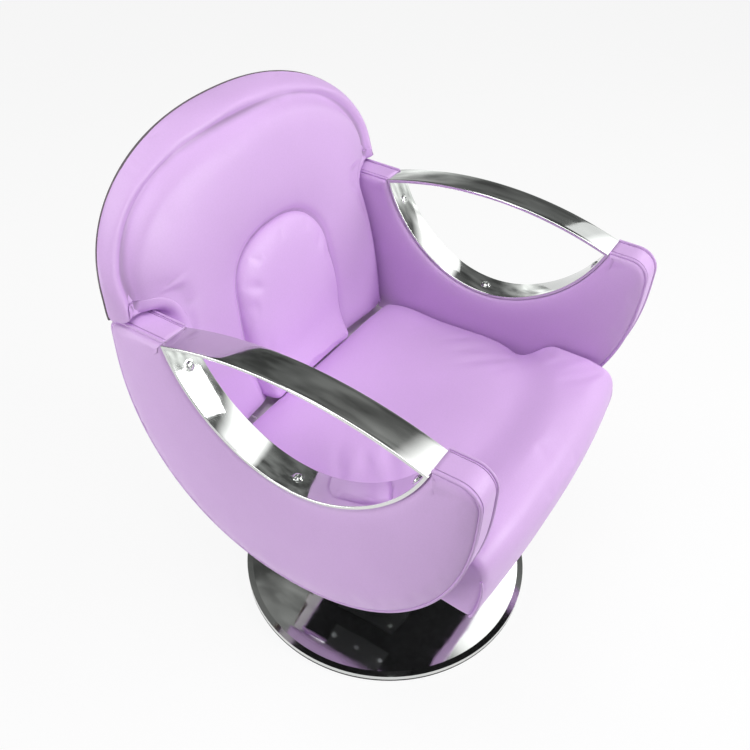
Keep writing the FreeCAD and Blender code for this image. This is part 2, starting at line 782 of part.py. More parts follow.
def behind_crease(shift):
    """Block that fills all that lies behind the crease, moved forward by shift."""
    half = size("seat_half_width + overrun")
    side = crease_bow(half) - shift
    rear = size("seat_rear")
    base = size("board_bottom - overrun")
    outline = wire((
        Part.Arc(V(-half, side, base), V(0, crease_bow(0) - shift, base), V(half, side, base)),
        Part.LineSegment(V(half, side, base), V(half, rear, base)),
        Part.LineSegment(V(half, rear, base), V(-half, rear, base)),
        Part.LineSegment(V(-half, rear, base), V(-half, side, base)),
    ))
    return Part.Face(outline).extrude(V(0, 0, size("board_thickness + roll_height + overrun")))


def make_seat_cushion():
    half = size("seat_half_width")
    base = size("board_bottom + board_thickness + seat_gap")
    tall = size("seat_height")
    crown = size("seat_crown_inset")
    levels = [(base + tall * rise, crown * inset, tilt) for rise, inset, tilt in SEAT_SHARES]
    wires = []
    for height, inset, tilt in levels:
        slope = SEAT_TILT_SHARE * tilt

        def spot(across, along):
            return V(across, along, height - slope * along)

        wide = half - inset
        rear = size("seat_rear") - inset
        front = crease_bow(half) + inset
        tip = crease_bow(0) + inset
        corner = size("seat_corner")
        turn = corner * (1 - math.sqrt(0.5))
        wires.append(wire((
            Part.LineSegment(spot(-wide + corner, rear), spot(wide - corner, rear)),
            Part.Arc(spot(wide - corner, rear), spot(wide - turn, rear - turn), spot(wide, rear - corner)),
            Part.LineSegment(spot(wide, rear - corner), spot(wide, front)),
            Part.Arc(spot(wide, front), spot(0, tip), spot(-wide, front)),
            Part.LineSegment(spot(-wide, front), spot(-wide, rear - corner)),
            Part.Arc(spot(-wide, rear - corner), spot(-wide + turn, rear - turn), spot(-wide + corner, rear)),
        )))
    kept_shape("seat_cushion", loft(wires))


def make_front_roll():
    half = size("seat_half_width")
    base = size("board_bottom + board_thickness + seat_gap")
    foot_low = size("board_bottom + seat_gap")
    top = foot_low + size("roll_height")
    step = -size("board_front + soft_gap")
    rear_top = base + size("seat_side_height") + SEAT_TILT_SHARE * size("seat_crease_side")
    front = -size("roll_front")
    stations = [(share, draw) for share, draw in ROLL_SHARES]
    stations += [(-share, draw) for share, draw in reversed(ROLL_SHARES[:-1])]
    wires = []
    for share, draw in stations:
        x = half * share
        inset = half * ROLL_DRAW_SHARE * draw
        bulge = size("roll_bulge") * (1 - share ** 2)
        rear = crease_bow(x) - size("soft_gap") - inset
        nose = front - bulge + inset
        low = foot_low + inset
        high = top - inset
        foot = nose + size("roll_foot_inset")
        tall = high - low
        shelf = rear_top - inset

        def spot(shares):
            return V(x, nose + tall * shares[0], low + tall * shares[1])

        lip = spot(ROLL_LIP_SHARES)
        rear_edge = V(x, rear, shelf)
        top_middle = (lip + rear_edge) * 0.5 + V(0, 0, tall * ROLL_TOP_BOW_SHARE)
        wires.append(wire((
            Part.LineSegment(V(x, rear, base + inset), V(x, step, base + inset)),
            Part.LineSegment(V(x, step, base + inset), V(x, step, low)),
            Part.LineSegment(V(x, step, low), V(x, foot, low)),
            Part.Arc(V(x, foot, low), spot(ROLL_BELLY_SHARES), spot(ROLL_NOSE_SHARES)),
            Part.Arc(spot(ROLL_NOSE_SHARES), spot(ROLL_BROW_SHARES), lip),
            Part.Arc(lip, top_middle, rear_edge),
            Part.LineSegment(rear_edge, V(x, rear, base + inset)),
        )))
    overrun = size("overrun")
    board_room = Part.makeBox(2 * (half + overrun), size("board_front + soft_gap"), base - foot_low + overrun,
                              V(-half - overrun, step, foot_low - overrun))
    kept_shape("seat_front_roll", loft(wires).cut(board_room).cut(behind_crease(size("crease_gap"))))


# Arms
def half_moon(x, inset):
    """Outline of an arm panel in the plane x, drawn in by inset, and closed straight across its top."""
    reach = size("arm_half_length")
    shoulder = size("arm_top - arm_shoulder_drop")
    depth = shoulder - size("arm_top - arm_height")

    def low_spot(turn):
        across = math.copysign(abs(math.cos(turn)) ** (2 / ARM_POWER_SHARE), math.cos(turn))
        down = abs(math.sin(turn)) ** (2 / ARM_POWER_SHARE)
        normal = V(0, math.copysign(abs(across) ** (ARM_POWER_SHARE - 1), across) / reach,
                   -down ** (ARM_POWER_SHARE - 1) / depth)
        normal.normalize()
        return V(x, reach * across, shoulder - depth * down) - normal * inset

    edges = []
    for start, end in zip(HALF_MOON_SHARES, HALF_MOON_SHARES[1:]):
        shares = (start, (start + end) / 2, end)
        edges.append(Part.Arc(*[low_spot(math.pi * share) for share in shares]))

    def corner(centre, radius, start):
        turns = [start - math.pi / 2 * part for part in (0, 0.5, 1)]
        return [centre + V(0, math.cos(turn), math.sin(turn)) * (radius - inset) for turn in turns]

    nose = size("arm_nose_radius")
    nose_top = size("arm_top + arm_nose_rise")
    front = corner(V(x, nose - reach, nose_top - nose), nose, math.pi)
    round_rear = size("arm_rear_corner")
    rear = corner(V(x, reach - round_rear, size("arm_top") - round_rear), round_rear, math.pi / 2)
    low_front = low_spot(math.pi)
    low_rear = low_spot(0)
    edges.append(Part.LineSegment(low_front, front[0]))
    edges.append(Part.Arc(*front))
    edges.append(Part.LineSegment(front[2], rear[0]))
    edges.append(Part.Arc(*rear))
    edges.append(Part.LineSegment(rear[2], low_rear))
    return wire(edges)


def tangent_arc(start, way, end):
    """Arc in the YZ plane that leaves start along way and ends at end. Also gives its end direction."""
    chord = end - start
    unit = V(chord).normalize()
    way = V(way).normalize()
    leaving = unit * (2 * way.dot(unit)) - way
    side = way - unit * way.dot(unit)
    angle = math.asin(min(side.Length, 1))
    sagitta = chord.Length / 2 * math.tan(angle / 2)
    middle = (start + end) * 0.5 + V(side).normalize() * sagitta
    return Part.Arc(start, middle, end), leaving


def loop_edges(x):
    """Underside and top of the chrome loop: rear side, foot, front side, crown."""
    foot = V(x, -size("loop_foot_reach"), size(LOOP_TIP + " - loop_foot_depth"))
    radius = size("loop_foot_radius")
    angle = math.radians(size("loop_foot_half_angle"))
    rise = radius * (1 - math.cos(angle))
    run = radius * math.sin(angle)
    rear_tip = V(x, size("loop_rear_tip"), size(LOOP_TIP))
    front_tip = V(x, -size("loop_front_tip"), size(LOOP_TIP))
    rear_join = foot + V(0, run, rise)
    front_join = foot + V(0, -run, rise)
    rear_side = tangent_arc(rear_join, V(0, math.cos(angle), math.sin(angle)), rear_tip)[0]
    front_side = tangent_arc(front_join, V(0, -math.cos(angle), math.sin(angle)), front_tip)[0]
    bottom = Part.Arc(rear_join, foot, front_join)
    crown = V(x, (rear_tip.y + front_tip.y) / 2, size(LOOP_TIP + " + loop_crown_rise"))
    top = Part.Arc(front_tip, crown, rear_tip)
    return rear_side, bottom, front_side, top


def bite(x, length):
    """Block that clears the arm panel for the loop. It spans from x by length."""
    rear_side, bottom, front_side, top = loop_edges(x)
    gap = V(0, 0, -size("seat_gap"))
    roof = size(LOOP_TIP + " + loop_crown_rise + overrun")
    edges = []
    for edge in (rear_side, bottom, front_side):
        moved = edge.copy()
        moved.translate(gap)
        edges.append(moved)
    rear_tip = rear_side.toShape().Vertexes[-1].Point + gap
    front_tip = front_side.toShape().Vertexes[-1].Point + gap
    edges.append(Part.LineSegment(front_tip, V(x, front_tip.y, roof)))
    edges.append(Part.LineSegment(V(x, front_tip.y, roof), V(x, rear_tip.y, roof)))
    edges.append(Part.LineSegment(V(x, rear_tip.y, roof), rear_tip))
    shapes = [edge.toShape() for edge in edges]
    outline = Part.Wire(Part.__sortEdges__(shapes))
    return Part.Face(outline).extrude(V(length, 0, 0))


def make_arm(side, sign):
    inner = size(ARM_INNER)
    thick = size("arm_thickness")
    core = size("arm_core_thickness")
    core_inner = inner + (thick - core) / 2
    core_outer = core_inner + core
    wall = size("arm_band_wall")
    overrun = size("overrun")
    gap = size("bore_gap")
    clear = bite(sign * (inner - overrun), sign * (thick + 2 * overrun))

    def pad(from_x, to_x):
        wires = []
        for depth, share in CROWN_SHARES:
            x = sign * (from_x + (to_x - from_x) * depth)
            wires.append(half_moon(x, wall + gap + size("arm_crown_inset") * share))
        return loft(wires).cut(clear)

    rear, foot, front, crown = loop_edges(sign * size(LOOP_CENTRE))
    spots = []
    for edge, share in ((rear, LOOP_SCREW_SHARE), (foot, 0.5), (front, LOOP_SCREW_SHARE)):
        curve = edge.toShape()
        place = curve.valueAt(curve.FirstParameter + (curve.LastParameter - curve.FirstParameter) * share)
        spots.append((place, (place - curve.Curve.Center).normalize()))

    bar = size("loop_bar")
    screws = [fastener(place - way * (bar + gap), way, size("loop_screw_head"),
                       size("loop_screw_head_height"), size("loop_screw_radius"),
                       size("loop_screw_length")) for place, way in spots]
    bores = [post(place - way * (bar + overrun), way, size("loop_screw_radius") + gap,
                  size("loop_screw_length") + 2 * overrun) for place, way in spots]

    half_loop = size("loop_width") / 2
    x = sign * (size(LOOP_CENTRE) - half_loop)
    outline = Part.Wire(Part.__sortEdges__([edge.toShape() for edge in loop_edges(x)]))
    window = outline.makeOffset2D(-bar, 2)
    strap = Part.Face(outline).cut(Part.Face(window)).extrude(V(sign * 2 * half_loop, 0, 0))
    arm_screws = []
    arm_bores = []
    way = V(sign, 0, 0)
    places = [("bracket_wall", reach, "arm_screw_height") for reach in arm_screw_reaches()]
    places += [("end_plate_wall", reach, height) for reach, height in end_plate_spots()]
    for plate_wall, reach, height in places:
        place = V(sign * (inner - size("seat_gap + " + plate_wall)), size(reach), size(height))
        arm_screws.append(fastener(place, way, size("arm_screw_head"), size("arm_screw_head_height"),
                                   size("arm_screw_radius"), size("arm_screw_length"), sunk=True))
        arm_bores.append(post(place, way, size("arm_screw_radius") + gap, size("arm_screw_length") + gap))

    board = Part.Face(half_moon(sign * core_inner, wall + gap)).extrude(V(sign * core, 0, 0)).cut(clear)
    kept_shape(side + "_arm_core", board.cut(Part.makeCompound(bores + arm_bores)))
    kept_shape(side + "_arm_inner_pad", pad(core_inner, inner).cut(Part.makeCompound(arm_bores)))
    kept_shape(side + "_arm_outer_pad", pad(core_outer, inner + thick))
    middle = inner + thick / 2
    band_half = size("arm_band_width") / 2
    outer = half_moon(sign * (middle - band_half), 0)
    hollow = half_moon(sign * (middle - band_half), wall)
    ring = Part.Face(outer).extrude(V(sign * 2 * band_half, 0, 0))
    ring = ring.cut(Part.Face(hollow).extrude(V(sign * 2 * band_half, 0, 0)))
    kept_shape(side + "_arm_edge_band", ring.cut(clear))
    kept_shape(side + "_arm_loop", strap.cut(Part.makeCompound(bores)))
    group(side + "_loop_screws", screws)
    group(side + "_arm_screws", arm_screws)


# Back
def back_circle():
    """Line of the back's front: a circle through foot, waist and head."""
    points = ((size("back_foot_y"), size("back_bottom")), (size("back_waist_y"), size("arm_top")),
              (size("back_head_y"), size(BACK_TOP)))
    return Part.Arc(*[V(0, y, z) for y, z in points]).toShape().Curve


def back_front(height):
    """How far back the front of the back lies at a height."""
    circle = back_circle()
    return circle.Center.y - math.sqrt(circle.Radius ** 2 - (height - circle.Center.z) ** 2)


def back_slope(height):
    """How steeply the front of the back leans away at a height."""
    circle = back_circle()
    rise = height - circle.Center.z
    return rise / math.sqrt(circle.Radius ** 2 - rise ** 2)


def bowed(start, end, bow):
    """Arc whose middle stands off its chord by bow along Y, or a line where there is no bow."""
    if not bow:
        return Part.LineSegment(start, end)
    return Part.Arc(start, (start + end) * 0.5 + V(0, bow, 0), end)


def back_section(height, half, front, rear, crown, bulge, edge_round):
    """Level section: crowned front, rounded sides, and a rear that bulges or is flat."""
    shoulder = front + crown
    middle = (shoulder + rear) / 2
    inner = max(half - edge_round, half / 2)
    return wire((
        bowed(V(inner, rear, height), V(-inner, rear, height), bulge),
        Part.Arc(V(-inner, rear, height), V(-half, middle, height), V(-inner, shoulder, height)),
        bowed(V(-inner, shoulder, height), V(inner, shoulder, height), -crown),
        Part.Arc(V(inner, shoulder, height), V(half, middle, height), V(inner, rear, height)),
    ))


def back_layer(near, far, inset, crowned=False, bulge=0, edge_round="back_edge_round", drop=0):
    """One layer of the back, between two depths behind the line of its front."""
    wide = size(ARM_OUTER + " + back_overhang")
    lower_half = size(ARM_INNER + " - back_side_gap")
    low = size("back_bottom") + (0 if crowned else inset) - drop
    arm_top = size("arm_top + arm_nose_rise + soft_gap")
    tall_at = size("arm_top + back_wide_rise")
    height = size(BACK_TOP) - tall_at - inset

    def section(z, half, crown):
        """The front face falls away towards the top edge as the back narrows."""
        fullness = math.sqrt(min(half / lower_half, 1))
        fall = crown * (1 - fullness) if crowned else 0
        shoulder = crown * fullness if crowned else 0
        front = back_front(z) + near + fall
        rear = back_front(z) + far
        return back_section(z, half - inset, front, rear, shoulder, bulge * fullness, size(edge_round))

    lower_top = (arm_top + tall_at) / 2
    lower = []
    for share in (0, 0.33, 0.67, 1):
        z = low + (lower_top - low) * share
        lower.append(section(z, lower_half, size("back_lower_crown") * (1 + share)))
    upper = [section(arm_top + inset, wide * BACK_WAIST_SHARE, size("back_upper_crown"))]
    for angle in BACK_TOP_ANGLE_SHARES:
        turn = math.radians(angle)
        half = wide * math.cos(turn) ** BACK_POWER_SHARE
        upper.append(section(tall_at + height * math.sin(turn), half + inset * (1 - math.cos(turn)),
                             size("back_upper_crown")))
    return loft(lower).fuse(loft(upper))


def back_strip(near, far, low, high, left, width):
    """Block that follows the line of the back, exact between two depths, two heights and two sides."""
    heights = (low, (low + high) / 2, high)
    edges = [Part.Arc(*[V(left, back_front(z) + depth, z) for z in heights]) for depth in (near, far)]
    edges += [Part.LineSegment(V(left, back_front(z) + near, z), V(left, back_front(z) + far, z))
              for z in (low, high)]
    outline = Part.Wire(Part.__sortEdges__([edge.toShape() for edge in edges]))
    return Part.Face(outline).extrude(V(width, 0, 0))


def back_slab(near, far):
    """The same block, larger than the back on every side."""
    half = size(ARM_OUTER + " + back_overhang + overrun")
    above = size(BACK_TOP + " + overrun")
    return back_strip(near, far, size("back_bottom - overrun"), above, -half, 2 * half)


def upright_screw_spots(far):
    """Where the screws of the uprights stand, and the way that each one runs into the back board."""
    low = size("cross_bar_height + cross_bar_wall")
    tall = size("upright_top") - low
    spots = []
    for sign in (-1, 1):
        for share in UPRIGHT_SCREW_SHARES:
            z = low + tall * share
            way = V(0, -1, back_slope(z)).normalize()
            spots.append((V(sign * size("upright_x"), back_front(z) + far, z), way))
    return spots


def make_back():
    pad = size("back_pad_thickness")
    gap = size("soft_gap")
    board_near = pad + gap
    board_far = board_near + size("back_board_thickness")
    near = board_far + gap
    far = near + size("upright_wall")
    spots = upright_screw_spots(far)
    bores = Part.makeCompound([
        post(place - way * size("overrun"), way, size("upright_screw_radius + bore_gap"),
             size("upright_screw_length + bore_gap") + size("overrun")) for place, way in spots])

    spare = size("trim_spare")
    cushion = back_layer(0, pad + spare, 0, crowned=True).cut(back_slab(pad, pad + 2 * spare))
    kept_shape("back_pad", cushion.removeSplitter())
    board = back_layer(board_near - spare, board_far + spare, size("back_board_inset"))
    board = board.common(back_slab(board_near, board_far))
    kept_shape("back_board", board.removeSplitter().cut(bores))
    wall = size("shell_wall")
    lip = board_near + size("shell_edge_depth")
    inset = size("shell_inset")
    overrun = size("overrun")
    bulge = size("shell_bulge")
    shell = back_layer(board_near - spare, lip, inset, bulge=bulge, edge_round="shell_edge_round")
    hollow = back_layer(board_near - overrun, lip - wall, inset + wall, bulge=bulge,
                        edge_round="shell_edge_round - shell_wall", drop=overrun + wall)
    front_trim = back_slab(board_near - 2 * spare, board_near)
    kept_shape("rear_shell", shell.cut(hollow).cut(front_trim).removeSplitter())

    bar_top = size("cross_bar_height + cross_bar_wall")
    top = size("upright_top")
    wide = size("upright_width")
    toe_y = size("cross_bar_front + cross_bar_depth / 4")
    uprights = []
    for sign in (-1, 1):
        left = sign * size("upright_x") - wide / 2
        bar = back_strip(near, far, bar_top, top, left, wide)
        toe_length = back_front(bar_top) + far - toe_y
        toe = Part.makeBox(wide, toe_length, size("upright_wall"), V(left, toe_y, bar_top))
        uprights.append(bar.fuse(toe).cut(bores).removeSplitter())
    group("back_uprights", uprights)
    group("upright_screws", [
        fastener(place, way, size("upright_screw_head"), size("upright_screw_head_height"),
                 size("upright_screw_radius"), size("upright_screw_length")) for place, way in spots])


def make_cross_bar():
    outer = ARM_INNER + " - seat_gap"
    low = "cross_bar_height"
    top = "cross_bar_height + cross_bar_wall"
    plate_top = top + " + end_plate_rise"
    bar = plate("rear_cross_bar", "XZ_Plane", (
        ("-(%s)" % outer, low),
        (outer, low),
        (outer, plate_top),
        (outer + " - end_plate_wall", plate_top),
        (outer + " - end_plate_wall", top),
        ("-(%s - end_plate_wall)" % outer, top),
        ("-(%s - end_plate_wall)" % outer, plate_top),
        ("-(%s)" % outer, plate_top),
    ), "-(cross_bar_front + cross_bar_depth)", "cross_bar_depth")
    pocketed(bar, "YZ_Plane", box_corners("cross_bar_front - overrun", "cross_bar_front + end_plate_setback",
                                          top, plate_top + " + overrun"))
    head_bore = "arm_screw_head + bore_gap"
    drilled(bar, "YZ_Plane", [(reach, height, head_bore) for reach, height in end_plate_spots()])


def make_lumbar():
    low = size("lumbar_bottom")
    high = size("lumbar_top")
    round_height = size("lumbar_round_height")
    straight = high - round_height - low
    stations = [(low + straight * rise, width, depth) for rise, width, depth in LUMBAR_SHARES]
    stations.append((high - round_height, LUMBAR_SHOULDER_SHARE, 1.0))
    for angle in LUMBAR_TOP_ANGLE_SHARES:
        turn = math.radians(angle)
        width = LUMBAR_SHOULDER_SHARE * math.cos(turn) ** BACK_POWER_SHARE
        stations.append((high - round_height * (1 - math.sin(turn)), width, math.sqrt(math.cos(turn))))
    wires = []
    for z, width, depth in stations:
        half = size("lumbar_half_width") * width
        rear = back_front(z) - size("lumbar_gap")
        front = rear - size("lumbar_depth") * depth
        inner = half * LUMBAR_FLAT_SHARE
        edge = rear + (front - rear) * LUMBAR_EDGE_SHARE
        side = (rear + edge) / 2
        wires.append(wire((
            Part.LineSegment(V(inner, rear, z), V(-inner, rear, z)),
            Part.Arc(V(-inner, rear, z), V(-half, side, z), V(-inner, edge, z)),
            Part.Arc(V(-inner, edge, z), V(0, front, z), V(inner, edge, z)),
            Part.Arc(V(inner, edge, z), V(half, side, z), V(inner, rear, z)),
        )))
    kept_shape("lumbar_pillow", loft(wires))


weight = make_base()
make_pump(weight)
make_pedal()
make_ram()
make_seat_base()
make_seat_cushion()
make_front_roll()
for arm_side, arm_sign in (("left", 1), ("right", -1)):
    make_arm(arm_side, arm_sign)
make_cross_bar()
make_back()
make_lumbar()
doc.recompute()

for thing in doc.Objects:
    if "Invalid" in thing.State or "Error" in thing.State:
        raise RuntimeError("%s did not build: %s" % (thing.Label, thing.State))
for part in parts:
    if part.Shape.isNull() or not part.Shape.isValid():
        raise RuntimeError(part.Label + " has no valid shape")

os.makedirs("parts", exist_ok=True)
for part in parts:
    part.Shape.exportStep("parts/%s.step" % part.Label)
print(len(parts), "sub-parts")
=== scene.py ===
"""Looks of the kids salon chair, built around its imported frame.

Shapes are worked out in millimetres in the part's own frame, and every mesh is made in metres.
+Z is up, the chair faces -Y, and "left" is the sitter's left, which is +X.
"""
import json
import math

import bmesh
import bpy
import numpy as np
from mathutils import Matrix, Vector


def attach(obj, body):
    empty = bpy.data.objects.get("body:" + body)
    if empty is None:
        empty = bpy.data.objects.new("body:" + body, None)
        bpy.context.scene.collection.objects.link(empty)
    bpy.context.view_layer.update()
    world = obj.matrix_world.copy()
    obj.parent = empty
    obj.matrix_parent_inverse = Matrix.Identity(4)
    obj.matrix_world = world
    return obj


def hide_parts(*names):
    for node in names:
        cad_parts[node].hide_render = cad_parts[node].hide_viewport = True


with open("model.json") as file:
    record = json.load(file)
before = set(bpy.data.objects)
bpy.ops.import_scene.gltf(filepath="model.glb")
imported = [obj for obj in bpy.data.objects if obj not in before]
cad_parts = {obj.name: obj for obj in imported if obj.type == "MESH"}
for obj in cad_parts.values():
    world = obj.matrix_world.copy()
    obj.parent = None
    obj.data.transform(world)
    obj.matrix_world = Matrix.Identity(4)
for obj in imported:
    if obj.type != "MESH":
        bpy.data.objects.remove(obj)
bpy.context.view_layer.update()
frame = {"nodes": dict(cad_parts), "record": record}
nodes = frame["nodes"]

MM = 0.001

# Sizes that the source has too, in millimetres
ARM_INNER = 231.5
ARM_THICK = 55.5
ARM_CORE = 18
ARM_REACH = 268.5
ARM_TOP = 602
ARM_SHOULDER = 550
ARM_BOTTOM = 253
ARM_REAR_CORNER = 20
ARM_NOSE = 30
ARM_NOSE_RISE = 4
ARM_POWER = 2.1
BAND_HALF = 20
BAND_WALL = 2.6
BAND_CROWN = 1.1
BAND_SUNK = 0.4
LOOP_X = 262.5
LOOP_HALF = 23.5
LOOP_BAR = 5
LOOP_REAR = 176.5
LOOP_FRONT = -206.5
LOOP_TIP = 601
LOOP_CROWN = 632
LOOP_FOOT = (-12, 453)
LOOP_FOOT_RADIUS = 170
LOOP_FOOT_ANGLE = math.radians(25)
SCREW_RADIUS = 6.5
SCREW_TALL = 3
SEAT_HALF = 224.5
SEAT_REAR = 156
SEAT_CORNER = 4
SEAT_BASE = 326.3
CREASE_SIDE = 94
CREASE_BOW = 76
SEAT_HEIGHT = 80
SEAT_SLOPE = 0.09
ROLL_LOW = 301.8
ROLL_TALL = 125.5
ROLL_FRONT = 269
ROLL_BULGE = 13
ROLL_STEP = 240.5
BACK_BOTTOM = 362.5
BACK_TOP = 796
BACK_WIDE = 644
BACK_HALF = 291
BACK_LOWER = 229
BACK_LEDGE = 604
BACK_THICK = 38
BACK_FOOT_Y = 160
BACK_WAIST_Y = 196
BACK_HEAD_Y = 277
BACK_FOOT_ROUND = 7
BACK_WAIST_ROUND = 17
BACK_WING_ROUND = 6
CROWN_POWER = 0.9
LUMBAR_HALF = 112
LUMBAR_LOW = 374
LUMBAR_HIGH = 624
LUMBAR_ROUND = 82

# How the covers are sewn and filled, in millimetres
PIPING = 2.1
ROLL_PIPING = 2
THREAD = 0.5
SHELL_RIM = 2.2
SEAM_INSET = 4.6
SEAM_LIFT = 0.6
INNER_ROUND = 13
INNER_DOME = 1.6
OUTER_ROUND = 16
OUTER_DOME = 4.5
BACK_SKIRT = 44
LEDGE_FULL = 14
LEDGE_WIDE = 40
BACK_RIM = 4.2
BORDER_ROLL = 3
BORDER_ROLL_IN = 11
BORDER_ROLL_WIDE = 8
GROOVE_DEEP = 12
GROOVE_IN = 27
GROOVE_WIDE = 9
FIELD_RISE = 2.5
BACK_CROWN = 32
BACK_CROWN_MOST = 36
BACK_BOW_LOW = 4
BACK_BOW_MORE = 14
BACK_BOW_HALF = 217
HOLLOW_LOW = 12
HOLLOW_MORE = 14
HOLLOW_HALF = 165
PILLOW_SEAM = 7
PILLOW_PROUD = 21
PILLOW_ROUND = 18
PILLOW_FOOT = 9
PILLOW_FOOT_TALL = 34
SEAT_DRAWN = 20
SEAT_DRAWN_WIDE = 32
SEAT_HOLLOW = 5
SEAT_VALLEY = 415
VALLEY_DROP = 42
VALLEY_DROP_WIDE = 42
BOARD_SIDE = 212.6
BOARD_LOW = 309
ROLL_LIP = 44
SEAT_END_ROUND = 11

SIDES = (("left", 1), ("right", -1))

# Camera of the photograph, in degrees, millimetres and metres
CAMERA_ANGLES = (-58.77, 41.01, 2.44)
CAMERA_LENS = 40.34
CAMERA_PLACE = (-0.8295, -0.4649, 1.2620)


# Materials

def srgb(red, green, blue):
    """A colour as a picture shows it, in the linear numbers that a shader takes."""
    shares = [value / 255 for value in (red, green, blue)]
    return [share / 12.92 if share <= 0.04045 else ((share + 0.055) / 1.055) ** 2.4
            for share in shares] + [1.0]


def shade(colour, factor):
    return [min(value * factor, 1.0) for value in colour[:3]] + [1.0]


class Nodes:
    """A node tree, and short calls for the nodes in it."""

    def __init__(self, tree, place):
        self.tree = tree
        tree.nodes.clear()
        self.place = self.add("TexCoord").outputs[place]

    def add(self, kind, feeds=(), **settings):
        """A node of that kind. A feed is a socket with the number or the output that goes into it."""
        node = self.tree.nodes.new("ShaderNode" + kind)
        for name, value in settings.items():
            setattr(node, name, value)
        for socket, value in feeds:
            if isinstance(value, bpy.types.NodeSocket):
                self.tree.links.new(value, node.inputs[socket])
            else:
                node.inputs[socket].default_value = value
        return node

    def stretched(self, scale):
        return self.add("Mapping", (("Vector", self.place), ("Scale", scale))).outputs[0]

    def noise(self, scale, detail=3.0, place=None, rough=0.5):
        feeds = (("Vector", place or self.place), ("Scale", scale), ("Detail", detail), ("Roughness", rough))
        return self.add("TexNoise", feeds).outputs["Fac"]

    def cells(self, scale):
        feeds = (("Vector", self.place), ("Scale", scale))
        return self.add("TexVoronoi", feeds, feature="SMOOTH_F1").outputs["Distance"]

    def spread(self, value, low, high, start=0.3, end=0.7):
        feeds = (("Value", value), ("From Min", start), ("From Max", end), ("To Min", low), ("To Max", high))
        return self.add("MapRange", feeds).outputs[0]

    def ramp(self, value, stops):
        node = self.add("ValToRGB", (("Fac", value),))
        elements = node.color_ramp.elements
        while len(elements) < len(stops):
            elements.new(0.5)
        for element, (position, colour) in zip(elements, stops):
            element.position = position
            element.color = colour
        return node.outputs["Color"]

    def mixed(self, share, first, second, kind="MIX"):
        feeds = ((0, share), (6, first), (7, second))
        return self.add("Mix", feeds, data_type="RGBA", blend_type=kind).outputs[2]

    def worked(self, kind, *values):
        return self.add("Math", enumerate(values), operation=kind).outputs[0]

    def blended(self, share, first, second):
        return self.add("MixShader", enumerate((share, first, second))).outputs[0]


class Finish(Nodes):
    """A material with one shader, and calls for what feeds it."""

    def __init__(self, name, **sockets):
        self.material = bpy.data.materials.new(name)
        self.material.use_nodes = True
        super().__init__(self.material.node_tree, "Object")
        feeds = [(socket.replace("_", " "), value) for socket, value in sockets.items()]
        self.shader = self.add("BsdfPrincipled", feeds)
        self.out = self.add("OutputMaterial", ((0, self.shader.outputs[0]),))

    def edges(self, low=0.5, high=0.56):
        """Nought on flat and hollow places, one along outward edges."""
        return self.spread(self.add("NewGeometry").outputs["Pointiness"], 0, 1, low, high)

    def colour(self, value):
        self.tree.links.new(value, self.shader.inputs["Base Color"])

    def rough(self, value):
        self.tree.links.new(value, self.shader.inputs["Roughness"])

    def normal(self, value):
        self.tree.links.new(value, self.shader.inputs["Normal"])

    def toned(self, colour, scale, detail, low, high, start=0.3, end=0.7):
        """The colour in patches, from darker to lighter."""
        stops = ((start, shade(colour, low)), (end, shade(colour, high)))
        return self.ramp(self.noise(scale, detail), stops)

    def worn(self, colour, scale, low, high, share, bright):
        """Colours it in patches, and brighter along rubbed edges."""
        body = self.toned(colour, scale, 4, low, high)
        self.colour(self.mixed(self.spread(self.edges(), 0, share, 0, 1), body, shade(colour, bright)))

    def bump(self, height, strength, distance, before=None):
        feeds = [("Height", height), ("Strength", strength), ("Distance", distance)]
        if before is not None:
            feeds.append(("Normal", before))
        return self.add("Bump", feeds).outputs[0]


def leather(name, colour, crease=0.95):
    """Coated leather: pebble grain, uneven gloss, paler on rubbed edges, and painted shade that darkens its
    hollows and creases.
    """
    finish = Finish(name, Specular_IOR_Level=0.42, Coat_Weight=0.05, Coat_Roughness=0.35,
                    Sheen_Weight=0.06, Sheen_Roughness=0.5)
    finish.shader.inputs["Sheen Tint"].default_value = shade(colour, 1.2)
    wide = finish.toned(colour, 7, 4, 0.955, 1.025)
    fine = finish.toned(colour, 420, 2, 0.95, 1.03, 0.35, 0.65)
    skin = finish.mixed(0.35, wide, fine)
    rubbed = finish.mixed(finish.spread(finish.edges(0.51, 0.6), 0, 0.35, 0, 1), skin, shade(colour, 1.1))
    # Painted shade: hollows and creases, found by low pointiness, are darkened to the crease factor.
    finish.colour(finish.mixed(finish.edges(0.498, 0.47), rubbed, shade(colour, crease)))
    finish.rough(finish.spread(finish.noise(30, 4), 0.36, 0.5))
    pebbles = finish.bump(finish.cells(650), 0.16, 0.00035)
    creases = finish.bump(finish.noise(1500, 3), 0.1, 0.0002, pebbles)
    finish.normal(finish.bump(finish.noise(45, 2), 0.06, 0.0012, creases))
    return finish.material


def chrome(name, ripple=0.05):
    """Bright plating: a slow ripple in the polish, wiping marks and small dull spots."""
    finish = Finish(name, Metallic=1.0)
    finish.colour(finish.ramp(finish.noise(5, 3), ((0.35, srgb(204, 207, 205)), (0.7, srgb(222, 223, 221)))))
    haze = finish.noise(60, 5, finish.stretched((1, 0.25, 1)))
    finish.rough(finish.spread(haze, 0.03, 0.11))
    wave = finish.bump(finish.noise(22, 1), ripple, 0.004)
    finish.normal(finish.bump(finish.noise(900, 2, finish.stretched((1, 0.06, 1))), 0.03, 0.0001, wave))
    return finish.material


def metal(name, colour, low, high, grain=500, stretch=(1, 1, 0.1)):
    """Turned or milled metal with fine tool marks, worn brighter along its edges."""
    finish = Finish(name, Metallic=1.0)
    finish.worn(colour, 14, 0.82, 1.08, 0.5, 1.3)
    marks = finish.noise(grain, 3, finish.stretched(stretch))
    finish.rough(finish.spread(marks, low, high))
    finish.normal(finish.bump(marks, 0.15, 0.0002))
    return finish.material


